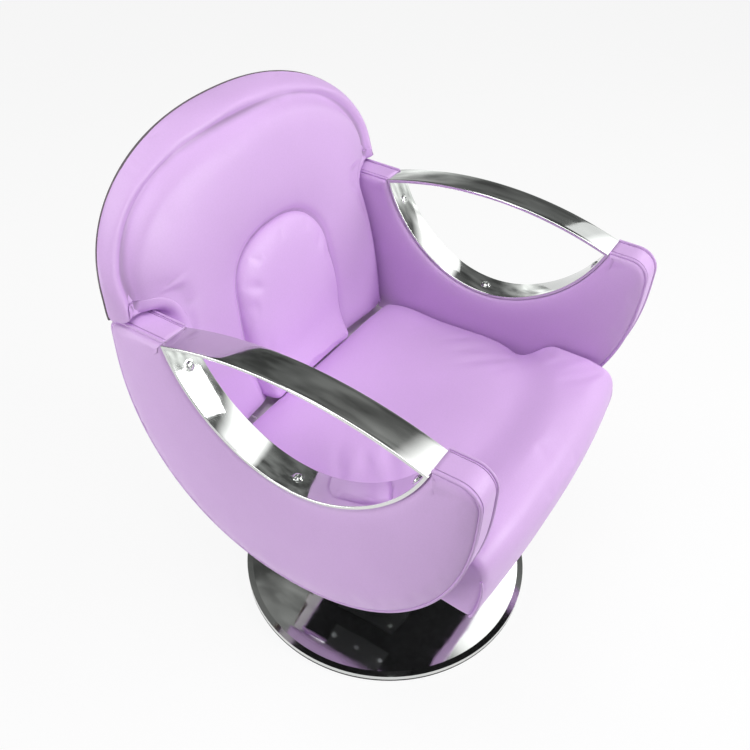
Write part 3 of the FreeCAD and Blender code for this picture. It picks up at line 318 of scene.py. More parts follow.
def paint(name, colour, low, high, peel=220):
    """Sprayed paint with orange peel, dust in its gloss and worn edges."""
    finish = Finish(name, Specular_IOR_Level=0.5)
    finish.worn(colour, 18, 0.88, 1.08, 0.4, 1.6)
    finish.rough(finish.spread(finish.noise(90, 4), low, high))
    finish.normal(finish.bump(finish.noise(peel, 2), 0.12, 0.0004))
    return finish.material


def rubber(name):
    finish = Finish(name, Specular_IOR_Level=0.35)
    finish.colour(finish.toned(srgb(38, 37, 39), 40, 5, 0.7, 1.6, 0.3, 0.75))
    finish.rough(finish.spread(finish.noise(200, 3), 0.62, 0.86))
    finish.normal(finish.bump(finish.noise(1400, 3), 0.3, 0.0002))
    return finish.material


def dust_cover(name):
    """Thin black cloth stapled under the seat: an open weave with lint."""
    finish = Finish(name, Specular_IOR_Level=0.2, Sheen_Weight=0.15)
    finish.colour(finish.toned(srgb(24, 24, 26), 70, 4, 0.7, 1.7, 0.35, 0.7))
    finish.rough(finish.spread(finish.noise(300, 2), 0.75, 0.95))
    weave = finish.bump(finish.noise(900, 1, finish.stretched((1, 0.15, 1))), 0.4, 0.0003)
    finish.normal(finish.bump(finish.noise(900, 1, finish.stretched((0.15, 1, 1))), 0.4, 0.0003, weave))
    return finish.material


def plywood(name):
    """Birch plywood: long figure on the face, with darker pores."""
    finish = Finish(name, Specular_IOR_Level=0.3)
    figure = finish.noise(26, 6, finish.stretched((1, 0.09, 1)), 0.62)
    body = finish.ramp(figure, ((0.25, srgb(168, 128, 84)), (0.5, srgb(203, 168, 122)),
                                (0.75, srgb(222, 192, 150))))
    pores = finish.noise(600, 2, finish.stretched((1, 0.05, 1)))
    finish.colour(finish.mixed(finish.spread(pores, 0.0, 0.5, 0.6, 0.75), body, srgb(120, 84, 50)))
    finish.rough(finish.spread(figure, 0.5, 0.72))
    finish.normal(finish.bump(pores, 0.25, 0.0003))
    return finish.material


def shell_plastic(name):
    """Moulded shell: warm grey, with a leather-like mould grain and rubbed edges."""
    finish = Finish(name, Specular_IOR_Level=0.45)
    finish.worn(srgb(150, 141, 134), 10, 0.9, 1.06, 0.35, 1.35)
    finish.rough(finish.spread(finish.noise(120, 3), 0.4, 0.56))
    finish.normal(finish.bump(finish.cells(480), 0.22, 0.0004))
    return finish.material


LILAC = srgb(214, 177, 229)
finishes = {
    "lilac_leather": leather("lilac_leather", LILAC),
    "chrome": chrome("chrome"),
    "steel": metal("steel", srgb(172, 174, 176), 0.22, 0.4),
    "bronze": metal("bronze", srgb(178, 132, 74), 0.25, 0.42),
    "cast_plate": paint("cast_plate", srgb(62, 62, 64), 0.55, 0.75, 90),
    "grey_paint": paint("grey_paint", srgb(222, 214, 220), 0.35, 0.5),
    "black_paint": paint("black_paint", srgb(34, 34, 36), 0.3, 0.48),
    "black_rubber": rubber("black_rubber"),
    "plywood": plywood("plywood"),
    "black_cloth": dust_cover("black_cloth"),
    "shell_plastic": shell_plastic("shell_plastic"),
}
# The back's leather: the same lilac, with strong painted shade in its groove and creases (crease factor 0.6).
back_crease_shade_finish = leather("lilac_back_crease_shade", LILAC, 0.6)
# Painted light: the pillow's leather is a lighter copy of the same lilac, standing in for the light on its
# forward-facing front.
pillow_lit_finish = leather("lilac_pillow_painted_light", shade(LILAC, 1.08))
# Painted shade: the cord along the shell's edge is dark purple-grey, standing in for the seam shadow between
# the cover and the shell.
rim_seam_shade_finish = paint("shell_rim_seam_shade", srgb(84, 74, 82), 0.4, 0.6)
piping_finish = leather("lilac_piping", shade(LILAC, 0.93))
thread_finish = leather("lilac_thread", shade(LILAC, 0.75))

for row in frame["record"]["subparts"]:
    mesh = nodes[row["node"]].data
    mesh.materials.clear()
    mesh.materials.append(finishes[row["material_slot"]])


# Shapes in the plane

def resample(points, count):
    """That many points, evenly spaced along a run, its two ends included."""
    points = np.asarray(points, float)
    steps = np.linalg.norm(np.diff(points, axis=0), axis=1)
    run = np.concatenate([[0], np.cumsum(steps)])
    wanted = np.linspace(0, run[-1], count)
    return np.stack([np.interp(wanted, run, points[:, k]) for k in range(points.shape[1])], 1)


def arc(centre, radius, start, end, count=12):
    """Points on a circle, from one angle to another in degrees."""
    turns = np.radians(np.linspace(start, end, count))
    return np.stack([centre[0] + radius * np.cos(turns), centre[1] + radius * np.sin(turns)], 1)


def curve_through(points, count):
    """Smooth run through points, as a centripetal Catmull-Rom spline."""
    points = np.asarray(points, float)
    ends = np.vstack([2 * points[0] - points[1], points, 2 * points[-1] - points[-2]])
    made = []
    for a, b, c, d in zip(ends, ends[1:], ends[2:], ends[3:]):
        for t in np.linspace(0, 1, 12, endpoint=False):
            made.append(0.5 * (2 * b + (c - a) * t + (2 * a - 5 * b + 4 * c - d) * t ** 2
                               + (3 * b - a - 3 * c + d) * t ** 3))
    made.append(points[-1])
    return resample(made, count)


def closed_normals(border):
    """Unit normals to the left of the way that a closed border runs."""
    way = np.roll(border, -1, 0) - np.roll(border, 1, 0)
    way /= np.linalg.norm(way, axis=1)[:, None]
    return np.stack([-way[:, 1], way[:, 0]], 1)


def fill(border, long, short, passes=80):
    """Grid over a closed border of 2 * (long + short) points, whose first point is a corner."""
    around = np.vstack([border, border[:1]])
    low = around[:long + 1]
    right = around[long:long + short + 1]
    high = around[long + short:2 * long + short + 1][::-1]
    left = around[2 * long + short:][::-1]
    s = np.linspace(0, 1, long + 1)[:, None, None]
    t = np.linspace(0, 1, short + 1)[None, :, None]
    grid = (1 - t) * low[:, None] + t * high[:, None] + (1 - s) * left[None] + s * right[None]
    grid -= (1 - s) * (1 - t) * low[0] + s * (1 - t) * low[-1] + (1 - s) * t * high[0] + s * t * high[-1]
    for _ in range(passes):
        grid[1:-1, 1:-1] = (grid[:-2, 1:-1] + grid[2:, 1:-1] + grid[1:-1, :-2] + grid[1:-1, 2:]) / 4
    return grid


def distance_to(points, border, closed=True):
    """How far each point of the plane is from a border."""
    first = np.asarray(border, float)
    second = np.roll(first, -1, 0)
    if not closed:
        first, second = first[:-1], first[1:]
    span = second - first
    length = np.maximum((span ** 2).sum(1), 1e-12)
    nearest = np.full(len(points), 1e9)
    for start, along, squared in zip(first, span, length):
        gap = points - start
        share = np.clip(gap @ along / squared, 0, 1)
        nearest = np.minimum(nearest, np.linalg.norm(gap - share[:, None] * along, axis=1))
    return nearest


def smooth(value, low, high):
    share = np.clip((np.asarray(value, float) - low) / (high - low), 0, 1)
    return share * share * (3 - 2 * share)


def hill(value, middle, width):
    """One at the middle, falling to nought on both sides."""
    return np.exp(-((value - middle) / width) ** 2)


def quarter(distance, radius):
    """Height share of a rounded edge: nought at the edge, one from radius inwards."""
    share = np.clip(np.asarray(distance, float) / radius, 0, 1)
    return np.sqrt(1 - (1 - share) ** 2)


# Mesh building

class Skin:
    """Collects points in millimetres and the faces between them."""

    def __init__(self):
        self.points = []
        self.faces = []

    def add(self, points):
        start = len(self.points)
        self.points.extend(np.asarray(points, float).reshape(-1, 3).tolist())
        return np.arange(start, len(self.points))

    def band(self, first, second, closed=True):
        count = len(first) if closed else len(first) - 1
        for step in range(count):
            after = (step + 1) % len(first)
            self.faces.append((first[step], first[after], second[after], second[step]))

    def follow(self, ring, points):
        """Adds a ring of points and joins it to the ring before."""
        following = self.add(points)
        self.band(ring, following)
        return following

    def cap(self, ring, grid, flip=False):
        """Closes a ring with the grid that fill() made over it."""
        long, short = grid.shape[0] - 1, grid.shape[1] - 1
        index = np.zeros((long + 1, short + 1), int)
        around = np.append(ring, ring[0])
        index[:, 0] = around[:long + 1]
        index[-1, :] = around[long:long + short + 1]
        index[:, -1] = around[long + short:2 * long + short + 1][::-1]
        index[0, :] = around[2 * long + short:][::-1]
        index[1:-1, 1:-1] = self.add(grid[1:-1, 1:-1]).reshape(long - 1, short - 1)
        for i in range(long):
            for j in range(short):
                face = (index[i, j], index[i + 1, j], index[i + 1, j + 1], index[i, j + 1])
                self.faces.append(face[::-1] if flip else face)
        return index

    def build(self, name, material, body, slot_name, replaced=(), levels=0):
        mesh = bpy.data.meshes.new(name)
        points = np.array(self.points) * MM
        mesh.from_pydata(points.tolist(), [], [tuple(int(v) for v in face) for face in self.faces])
        shape = bmesh.new()
        shape.from_mesh(mesh)
        bmesh.ops.recalc_face_normals(shape, faces=shape.faces)
        shape.to_mesh(mesh)
        shape.free()
        mesh.polygons.foreach_set("use_smooth", [True] * len(mesh.polygons))
        mesh.materials.append(material)
        made = bpy.data.objects.new(name, mesh)
        bpy.context.scene.collection.objects.link(made)
        if levels:
            refine = made.modifiers.new("refine", "SUBSURF")
            refine.levels = refine.render_levels = levels
        settle(made, body, replaced)
        return made


def settle(made, body, replaced=()):
    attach(made, body)
    if replaced:
        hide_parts(*replaced)


def swell(made, held, pressure, most, stiffness=12):
    """Lets the cover swell under its filling, as cloth. A point moves at most that many millimetres."""
    refine = [m for m in made.modifiers if m.type == "SUBSURF"]
    for modifier in refine:
        modifier.show_viewport = False
    group = made.vertex_groups.new(name="held")
    for weight in np.unique(np.round(held[held > 0], 2)):
        group.add([int(v) for v in np.nonzero(np.round(held, 2) == weight)[0]], float(weight), "REPLACE")
    modifier = made.modifiers.new("swell", "CLOTH")
    cloth = modifier.settings
    cloth.quality = 5
    cloth.mass = 0.3
    cloth.tension_stiffness = cloth.compression_stiffness = stiffness
    cloth.shear_stiffness = stiffness / 2
    cloth.bending_stiffness = 1.5
    cloth.use_pressure = True
    cloth.uniform_pressure_force = pressure
    cloth.effector_weights.gravity = 0
    cloth.vertex_group_mass = "held"
    cloth.pin_stiffness = 2
    modifier.collision_settings.use_collision = False
    before = np.array([v.co for v in made.data.vertices])
    scene = bpy.context.scene
    for step in range(1, 21):
        scene.frame_set(step)
    evaluated = made.evaluated_get(bpy.context.evaluated_depsgraph_get())
    after = np.array([v.co for v in evaluated.to_mesh().vertices])
    evaluated.to_mesh_clear()
    made.modifiers.remove(modifier)
    scene.frame_set(1)
    moved = after - before
    far = np.linalg.norm(moved, axis=1)
    cap = most * MM
    moved *= (cap * np.tanh(far / cap) / np.maximum(far, 1e-9))[:, None]
    made.data.vertices.foreach_set("co", (before + moved).ravel())
    made.data.update()
    for modifier in refine:
        modifier.show_viewport = True


def pad_solid(border, counts, radius, front, rear, rows=5, rim=0, belt=()):
    """Closed pad over a border in the plane. front(points, distance) and rear(points) place it in space.

    The rear is drawn in by rim. belt holds (inset, share) rows on the side wall, where the share
    runs from the rear to the front's edge. Gives the skin, and how firmly each point is held.
    """
    long, short = counts
    normals = closed_normals(border)
    none = np.zeros(len(border))
    skin = Skin()
    inner = border + normals * rim
    ring = skin.add(rear(inner))
    skin.cap(ring, rear(fill(inner, long, short).reshape(-1, 2)).reshape(long + 1, short + 1, 3), flip=True)
    held = len(skin.points)
    for inset, share in belt:
        around = border + normals * inset
        ring = skin.follow(ring, rear(around) * (1 - share) + front(around, none) * share)
    ring = skin.follow(ring, front(border, none))
    for row in range(1, rows + 1):
        inset = radius * (1 - math.cos(math.pi / 2 * row / rows))
        ring = skin.follow(ring, front(border + normals * inset, np.full(len(border), inset)))
    inner = border + normals * radius
    grid = fill(inner, long, short)
    flat = grid.reshape(-1, 2)
    away = np.maximum(distance_to(flat, border), radius * 0.98)
    skin.cap(ring, front(flat, away).reshape(long + 1, short + 1, 3))
    weights = np.zeros(len(skin.points))
    weights[:held] = 1
    weights[held:held + len(border) * (len(belt) + 1)] = 0.8
    return skin, weights


def tube(name, points, radius, material, body, closed=False):
    """Piping or a cord of that radius along points in millimetres."""
    curve = bpy.data.curves.new(name, "CURVE")
    curve.dimensions = "3D"
    curve.bevel_depth = radius * MM
    curve.bevel_resolution = 3
    curve.use_fill_caps = True
    spline = curve.splines.new("POLY")
    spline.points.add(len(points) - 1)
    for spot, point in zip(spline.points, points):
        spot.co = [value * MM for value in point] + [1]
    spline.use_cyclic_u = closed
    spline.use_smooth = True
    curve.materials.append(material)
    made = bpy.data.objects.new(name, curve)
    bpy.context.scene.collection.objects.link(made)
    settle(made, body)
    return made


# Arms

def half_moon():
    """Outer edge of an arm in the YZ plane, from the bite's front end round the bottom to its rear end."""
    depth = ARM_SHOULDER - ARM_BOTTOM
    turns = np.linspace(math.pi, 0, 90)
    across = np.sign(np.cos(turns)) * np.abs(np.cos(turns)) ** (2 / ARM_POWER)
    down = np.abs(np.sin(turns)) ** (2 / ARM_POWER)
    low = np.stack([ARM_REACH * across, ARM_SHOULDER - depth * down], 1)
    nose_top = ARM_TOP + ARM_NOSE_RISE
    nose = arc((ARM_NOSE - ARM_REACH, nose_top - ARM_NOSE), ARM_NOSE, 90, 180)
    rear = arc((ARM_REACH - ARM_REAR_CORNER, ARM_TOP - ARM_REAR_CORNER), ARM_REAR_CORNER, 0, 90)
    slope = ARM_NOSE_RISE / (2 * ARM_REACH - ARM_NOSE - ARM_REAR_CORNER)
    front_end = (LOOP_FRONT, nose_top - slope * (LOOP_FRONT + ARM_REACH - ARM_NOSE))
    rear_end = (LOOP_REAR, nose_top - slope * (LOOP_REAR + ARM_REACH - ARM_NOSE))
    return np.vstack([[front_end], nose, low, rear, [rear_end]])


def tangent_arc(start, way, end, count=30):
    """Arc that leaves start along way and ends at end."""
    start, way, end = (np.asarray(value, float) for value in (start, way, end))
    chord = end - start
    side = np.array([-way[1], way[0]])
    reach = (chord @ chord) / (2 * chord @ side)
    centre = start + side * reach
    first = math.atan2(*(start - centre)[::-1])
    last = math.atan2(*(end - centre)[::-1])
    turn = (last - first + math.pi) % math.tau - math.pi
    turns = first + turn * np.linspace(0, 1, count)
    return centre + abs(reach) * np.stack([np.cos(turns), np.sin(turns)], 1), centre


def loop_runs():
    """Underside of the loop's foot from rear tip to front tip, and its crown from front to rear."""
    run = LOOP_FOOT_RADIUS * math.sin(LOOP_FOOT_ANGLE)
    rise = LOOP_FOOT_RADIUS * (1 - math.cos(LOOP_FOOT_ANGLE))
    rear_join = (LOOP_FOOT[0] + run, LOOP_FOOT[1] + rise)
    front_join = (LOOP_FOOT[0] - run, LOOP_FOOT[1] + rise)
    way = (math.cos(LOOP_FOOT_ANGLE), math.sin(LOOP_FOOT_ANGLE))
    rear, rear_centre = tangent_arc(rear_join, way, (LOOP_REAR, LOOP_TIP))
    front, front_centre = tangent_arc(front_join, (-way[0], way[1]), (LOOP_FRONT, LOOP_TIP))
    foot_centre = (LOOP_FOOT[0], LOOP_FOOT[1] + LOOP_FOOT_RADIUS)
    foot = arc(foot_centre, LOOP_FOOT_RADIUS, -65, -115, 20)
    under = np.vstack([rear[::-1], foot[1:-1], front])
    half = (LOOP_REAR - LOOP_FRONT) / 2
    rise = LOOP_CROWN - LOOP_TIP
    radius = (half ** 2 + rise ** 2) / (2 * rise)
    lean = math.degrees(math.asin(half / radius))
    crown = arc(((LOOP_REAR + LOOP_FRONT) / 2, LOOP_CROWN - radius), radius, 90 + lean, 90 - lean, 60)
    share = round(0.76 * (len(rear) - 1))
    spots = [(rear[share], rear_centre), (np.array(LOOP_FOOT, float), foot_centre),
             (front[share], front_centre)]
    return under, crown, spots


ARM_COUNTS = (130, 22)


def arm_border(inset, gap):
    """Closed border of a face of an arm: outer edge, rear top, bite and front top."""
    outer = half_moon()
    under = loop_runs()[0] - (0, gap)
    corner_front, corner_rear = 7, len(outer) - 7
    long, short = ARM_COUNTS
    sides = (
        resample(outer[corner_front:corner_rear + 1], long + 1)[:-1],
        resample(np.vstack([outer[corner_rear:], under[:1]]), short + 1)[:-1],
        resample(under, long + 1)[:-1],
        resample(np.vstack([under[-1:], outer[:corner_front + 1]]), short + 1)[:-1],
    )
    border = np.vstack(sides)
    shift = np.full(len(border), inset)
    shift[long + short:2 * long + short + 1] = 0
    soft = closed_normals(border)
    return border + soft * shift[:, None]


def make_arm(side, sign):
    middle = ARM_INNER + ARM_THICK / 2
    leather_skin = finishes["lilac_leather"]
    for place, away, face_x, radius, most in (
            ("inner", -1, ARM_INNER, INNER_ROUND, INNER_DOME),
            ("outer", 1, ARM_INNER + ARM_THICK, OUTER_ROUND, OUTER_DOME)):
        seam_x = middle + away * BAND_HALF
        core_x = middle + away * ARM_CORE / 2
        border = arm_border(BAND_WALL * 0.35, 0.5)

        def front(points, distance):
            share = quarter(distance, radius)
            dome = most * (1 - np.exp(-np.maximum(distance - radius, 0) / 45)) * away
            x = seam_x + (face_x - seam_x) * share + dome
            return np.stack([sign * x, points[:, 0], points[:, 1]], 1)

        def rear(points):
            return np.stack([np.full(len(points), sign * core_x), points[:, 0], points[:, 1]], 1)

        skin, held = pad_solid(border, ARM_COUNTS, radius, front, rear)
        made = skin.build("%s_%s_cover" % (side, place), leather_skin, "seat", "lilac_leather",
                          ("%s_arm_%s_pad" % (side, place),), levels=1)
        swell(made, held, 3, 2.5, 20)

    path = resample(half_moon(), 190)
    way = np.gradient(path, axis=0)
    way /= np.linalg.norm(way, axis=1)[:, None]
    out = np.stack([way[:, 1], -way[:, 0]], 1)
    skin = Skin()
    section = [(across, BAND_CROWN * (1 - across ** 4) - BAND_SUNK) for across in np.linspace(-1, 1, 11)]
    section += [(across, -BAND_WALL) for across in (1, 0, -1)]
    rings = []
    for spot, normal in zip(path, out):
        ring = [(sign * (middle + across * (BAND_HALF - 0.6)), *(spot + normal * lift))
                for across, lift in section]
        rings.append(skin.add(ring))
    for first, second in zip(rings, rings[1:]):
        skin.band(first, second)
    skin.faces.append(tuple(rings[0]))
    skin.faces.append(tuple(rings[-1][::-1]))
    skin.build(side + "_band_cover", leather_skin, "seat", "lilac_leather", (side + "_arm_edge_band",))
    for place, x, inwards in (("inner", middle - BAND_HALF, 1), ("outer", middle + BAND_HALF, -1)):
        line = [(sign * x, *(spot - normal * 0.2)) for spot, normal in zip(path, out)]
        tube("%s_%s_piping" % (side, place), line, PIPING, piping_finish, "seat")
        stitch = [(sign * (x + SEAM_INSET * inwards), *(spot + normal * SEAM_LIFT))
                  for spot, normal in zip(path, out)]
        tube("%s_%s_seam" % (side, place), stitch, THREAD, thread_finish, "seat")
    make_loop(side, sign)


def make_loop(side, sign):
    """Chrome loop: flat bar with rounded edges and a faintly crowned face."""
    under, crown, spots = loop_runs()
    runs = np.vstack([under, crown[1:-1]])
    ahead = np.roll(runs, -1, 0) - runs
    ahead /= np.linalg.norm(ahead, axis=1)[:, None]
    normal = np.stack([ahead[:, 1], -ahead[:, 0]], 1)
    before = np.roll(normal, 1, 0)
    joint = normal + before
    joint /= (1 + (normal * before).sum(1))[:, None]
    skin = Skin()
    bevel, crowned = 1.3, 0.7
    section = []
    for first, across, deep in ((180, -1, bevel), (270, 1, bevel), (0, 1, LOOP_BAR - bevel),
                                (90, -1, LOOP_BAR - bevel)):
        for step in range(5):
            turn = math.radians(first + 90 * step / 4)
            section.append((across * (LOOP_HALF - bevel) + bevel * math.cos(turn),
                            deep + bevel * math.sin(turn)))
        if first == 180:
            section += [(LOOP_HALF * share, -crowned * (1 - share ** 2))
                        for share in (-0.8, -0.5, -0.17, 0.17, 0.5, 0.8)]
    rings = []
    for spot, inwards in zip(runs, joint):
        ring = [(sign * (LOOP_X + across), *(spot + inwards * deep)) for across, deep in section]
        rings.append(skin.add(ring))
    for step, first in enumerate(rings):
        skin.band(first, rings[(step + 1) % len(rings)])
    made = skin.build(side + "_loop", finishes["chrome"], "seat", "chrome", (side + "_arm_loop",))
    mark_sharp(made, 40)
    make_screws(side, sign, spots)


def mark_sharp(made, degrees):
    """Keeps hard corners hard while the rest is shaded smooth."""
    shape = bmesh.new()
    shape.from_mesh(made.data)
    limit = math.radians(degrees)
    for edge in shape.edges:
        if len(edge.link_faces) == 2 and edge.calc_face_angle(0) > limit:
            edge.smooth = False
    shape.to_mesh(made.data)
    shape.free()


def make_screws(side, sign, spots):
    """Cross-head screws on washers, in the foot of the loop."""
    shape = bmesh.new()
    for place, centre in spots:
        way = np.asarray(centre, float) - place
        way /= np.linalg.norm(way)
        foot = Vector((sign * LOOP_X, *(place + way * LOOP_BAR)))
        turn = Vector((0, *way)).to_track_quat("Z", "X").to_matrix().to_4x4()
        head = screw_head(SCREW_RADIUS, SCREW_TALL)
        head.transform(Matrix.Translation(foot * MM) @ turn @ Matrix.Scale(MM, 4))
        shape.from_mesh(head)
        bpy.data.meshes.remove(head)
    mesh = bpy.data.meshes.new(side + "_screw_set")
    shape.to_mesh(mesh)
    shape.free()
    mesh.materials.clear()
    mesh.materials.append(finishes["chrome"])
    made = bpy.data.objects.new(side + "_screw_set", mesh)
    bpy.context.scene.collection.objects.link(made)
    settle(made, "seat", (side + "_loop_screws",))


def screw_head(radius, height):
    """Mesh of a domed head on a washer, with a cross cut into it. Millimetres, its foot at nought."""
    steps = 28
    profile = [(0, height)]
    profile += [(radius * across, height * up)
                for across, up in ((0.5, 0.96), (0.78, 0.78), (0.94, 0.5), (1, 0.25))]
    profile += [(radius * across, up) for across, up in ((1.04, 0.7), (1.3, 0.6), (1.34, 0.35), (1.34, 0))]
    profile += [(0, 0)]
    shape = bmesh.new()
    rows = []
    for reach, up in profile:
        turns = [math.tau * k / steps for k in range(steps)] if reach else [0]
        rows.append([shape.verts.new((reach * math.cos(turn), reach * math.sin(turn), up)) for turn in turns])
    for first, second in zip(rows, rows[1:]):
        for k in range(steps):
            after = (k + 1) % steps
            ring = [first[k % len(first)], first[after % len(first)],
                    second[after % len(second)], second[k % len(second)]]
            shape.faces.new(list(dict.fromkeys(ring)))
    bmesh.ops.recalc_face_normals(shape, faces=shape.faces)
    mesh = bpy.data.meshes.new("head")
    shape.to_mesh(mesh)
    shape.free()
    cutter = bmesh.new()
    for size in ((radius * 1.1, radius * 0.24, 3), (radius * 0.24, radius * 1.1, 3)):
        place = Matrix.Translation((0, 0, height + 0.2)) @ Matrix.Diagonal((*size, 1))
        bmesh.ops.create_cube(cutter, size=1, matrix=place)
    cut_mesh = bpy.data.meshes.new("cross")
    cutter.to_mesh(cut_mesh)
    cutter.free()
    head = bpy.data.objects.new("head", mesh)
    cross = bpy.data.objects.new("cross", cut_mesh)
    for thing in (head, cross):
        bpy.context.scene.collection.objects.link(thing)
    cut = head.modifiers.new("cut", "BOOLEAN")
    cut.operation = "DIFFERENCE"
    cut.solver = "EXACT"
    cut.use_self = True
    cut.object = cross
    bpy.context.view_layer.update()
    made = bpy.data.meshes.new_from_object(head.evaluated_get(bpy.context.evaluated_depsgraph_get()))
    for thing in (head, cross):
        bpy.data.objects.remove(thing)
    return made


# Back

def circle_through(first, second, third):
    """Centre and radius of the circle through three points."""
    first, second, third = (np.array(point, float) for point in (first, second, third))
    rows = np.array([second - first, third - first])
    sums = np.array([(second ** 2 - first ** 2).sum(), (third ** 2 - first ** 2).sum()]) / 2
    centre = np.linalg.solve(rows, sums)
    return centre, math.dist(centre, first)


BACK_CENTRE, BACK_RADIUS = circle_through((BACK_FOOT_Y, BACK_BOTTOM), (BACK_WAIST_Y, ARM_TOP),
                                          (BACK_HEAD_Y, BACK_TOP))


def back_line(height):
    """How far back the middle of the back's front lies at a height."""
    return BACK_CENTRE[0] - np.sqrt(BACK_RADIUS ** 2 - (height - BACK_CENTRE[1]) ** 2)


def back_reach(height):
    """Half the width of the upper back at a height."""
    sine = np.clip((height - BACK_WIDE) / (BACK_TOP - BACK_WIDE), 0, 1)
    return BACK_HALF * np.sqrt(np.maximum(1 - sine ** 2, 0)) ** CROWN_POWER


def back_crown(count):
    """Right half of the back's top edge in the XZ plane, from its widest place to its middle."""
    turns = np.radians(np.linspace(0, 90, count))
    return np.stack([BACK_HALF * np.cos(turns) ** CROWN_POWER,
                     BACK_WIDE + (BACK_TOP - BACK_WIDE) * np.sin(turns)], 1)


def skirt_line(height):
    """Where the front of the back's side wall ends at a height."""
    return back_line(height) + BACK_SKIRT + LEDGE_FULL * hill(height, BACK_LEDGE, LEDGE_WIDE)


def closed_outline(side, counts, corner, last):
    """Border of a right side, its points from foot to middle, and its mirror image.

    A corner of its grid lies that many points along the side, and another last points before the side's end.
    """
    mirrored = (side * (-1, 1))[::-1]
    long, short = counts
    split = len(side) - last
    return np.vstack([
        resample(np.vstack([mirrored[-corner:], side[:corner]]), long + 1)[:-1],
        resample(side[corner - 1:split + 1], short + 1)[:-1],
        resample(np.vstack([side[split:], mirrored[:len(mirrored) - split]]), long + 1)[:-1],
        resample(mirrored[len(mirrored) - split - 1:1 - corner], short + 1)[:-1],
    ])


def back_border(counts):
    """Border of the back in the XZ plane, from its lower right corner as seen from the front."""
    foot, waist, wing = BACK_FOOT_ROUND, BACK_WAIST_ROUND, BACK_WING_ROUND
    return closed_outline(np.vstack([
        arc((BACK_LOWER - foot, BACK_BOTTOM + foot), foot, -90, 0),
        arc((BACK_LOWER + waist, BACK_LEDGE - waist), waist, 180, 90, 8),
        arc((BACK_HALF - wing, BACK_LEDGE + wing), wing, -90, 0, 8),
        back_crown(60)]), counts, 6, 27)


def lumbar_border(counts):
    """Border of the pillow in the XZ plane, from its lower left corner."""
    shoulder = LUMBAR_HALF * 0.95
    straight = LUMBAR_HIGH - LUMBAR_ROUND - LUMBAR_LOW
    turns = np.radians(np.linspace(0, 90, 40))
    top = np.stack([shoulder * np.cos(turns) ** CROWN_POWER,
                    LUMBAR_HIGH - LUMBAR_ROUND * (1 - np.sin(turns))], 1)
    corner = arc((LUMBAR_HALF * 0.93 - 16, LUMBAR_LOW + 16), 16, -90, -10, 10)
    flank = curve_through((corner[-1], (LUMBAR_HALF * 0.98, LUMBAR_LOW + straight * 0.4),
                           (LUMBAR_HALF * 0.99, LUMBAR_LOW + straight * 0.7), top[0]), 20)
    return closed_outline(np.vstack([corner, flank[1:-1], top]), counts, 5, 18)


def back_face(points):
    """The crowned front of the back, without its border, seams or edges."""
    x, z = points[:, 0], points[:, 1]
    fullness = np.sqrt(np.clip(back_reach(z) / BACK_LOWER, 0, 1))
    across = (x / np.maximum(back_reach(z) - 9, 60)) ** 2
    upper = BACK_CROWN * (1 - fullness) + BACK_CROWN * fullness * across
    bow = BACK_BOW_LOW + BACK_BOW_MORE * (z - BACK_BOTTOM) / (BACK_LEDGE - BACK_BOTTOM)
    lower = bow * (x / BACK_BOW_HALF) ** 2
    share = smooth(z, 570, 650)
    sunk = HOLLOW_LOW + HOLLOW_MORE * smooth(z, 365, 450)
    sunk = sunk * (1 - smooth(z, 500, 830)) * np.exp(-(x / HOLLOW_HALF) ** 4)
    return back_line(z) + lower * (1 - share) + np.minimum(upper, BACK_CROWN_MOST) * share + sunk


def make_back():
    counts = (92, 76)
    border = back_border(counts)
    pillow = lumbar_border((60, 50))

    def inside(points):
        """Points that the pillow covers."""
        x, z = points[:, 0], points[:, 1]
        crossings = np.zeros(len(points), bool)
        for (x1, z1), (x2, z2) in zip(pillow, np.roll(pillow, -1, 0)):
            if z1 == z2:
                continue
            between = (z1 > z) != (z2 > z)
            crossings ^= between & (x < (x2 - x1) * (z - z1) / (z2 - z1) + x1)
        return crossings

    rim = np.vstack([[(BACK_HALF, BACK_BOTTOM)], back_crown(50)])
    rim = np.vstack([rim, (rim * (-1, 1))[::-1]])

    def front(points, distance):
        """Rolled border, groove, crowned field, and a hollow that takes the pillow."""
        z = points[:, 1]
        outer = distance_to(points, rim, closed=False)
        sewn = (-BORDER_ROLL * hill(outer, BORDER_ROLL_IN, BORDER_ROLL_WIDE)
                + GROOVE_DEEP * hill(outer, GROOVE_IN, GROOVE_WIDE) - FIELD_RISE * smooth(outer, 30, 66))
        tuck = np.where(inside(points), 0, distance_to(points, pillow))
        above = smooth(z, LUMBAR_HIGH - LUMBAR_ROUND, LUMBAR_HIGH)
        pulled = PILLOW_SEAM * (hill(tuck, 0, 7) + 0.7 * above * hill(tuck, 0, 26))
        face = back_face(points) + sewn + pulled
        edge = skirt_line(z)
        wing = smooth(z, 590, 625)
        foot = hill(z, BACK_BOTTOM, 18) * smooth(BACK_LOWER - np.abs(points[:, 0]), 6, 34)
        share = quarter(distance, 18 - 9 * foot) * (1 - wing) + quarter(distance, 12) * wing
        return np.stack([points[:, 0], edge + (face - edge) * share, z], 1)

    def rear(points):
        return np.stack([points[:, 0], back_line(points[:, 1]) + BACK_THICK, points[:, 1]], 1)

    skin, held = pad_solid(border, counts, 24, front, rear, rows=7, rim=BACK_RIM,
                           belt=((BACK_RIM, 0.97), (2.6, 1.12), (1.0, 1.1)))
    made = skin.build("back_cover", back_crease_shade_finish, "seat", "lilac_leather", ("back_pad",), levels=1)
    swell(made, held, 2.5, 3, 16)
    line = np.stack([rim[:, 0], np.maximum(rim[:, 1], BACK_LEDGE + 6)], 1)
    line = resample(line, 180) * (0.994, 1) - (0, 1.6)
    path = np.stack([line[:, 0], skirt_line(line[:, 1]) + 1.6, line[:, 1]], 1)
    # Cord just behind the cover's edge. Its dark colour is painted seam shadow.
    tube("shell_rim_seam_shade", path, SHELL_RIM, rim_seam_shade_finish, "seat")
    make_lumbar()


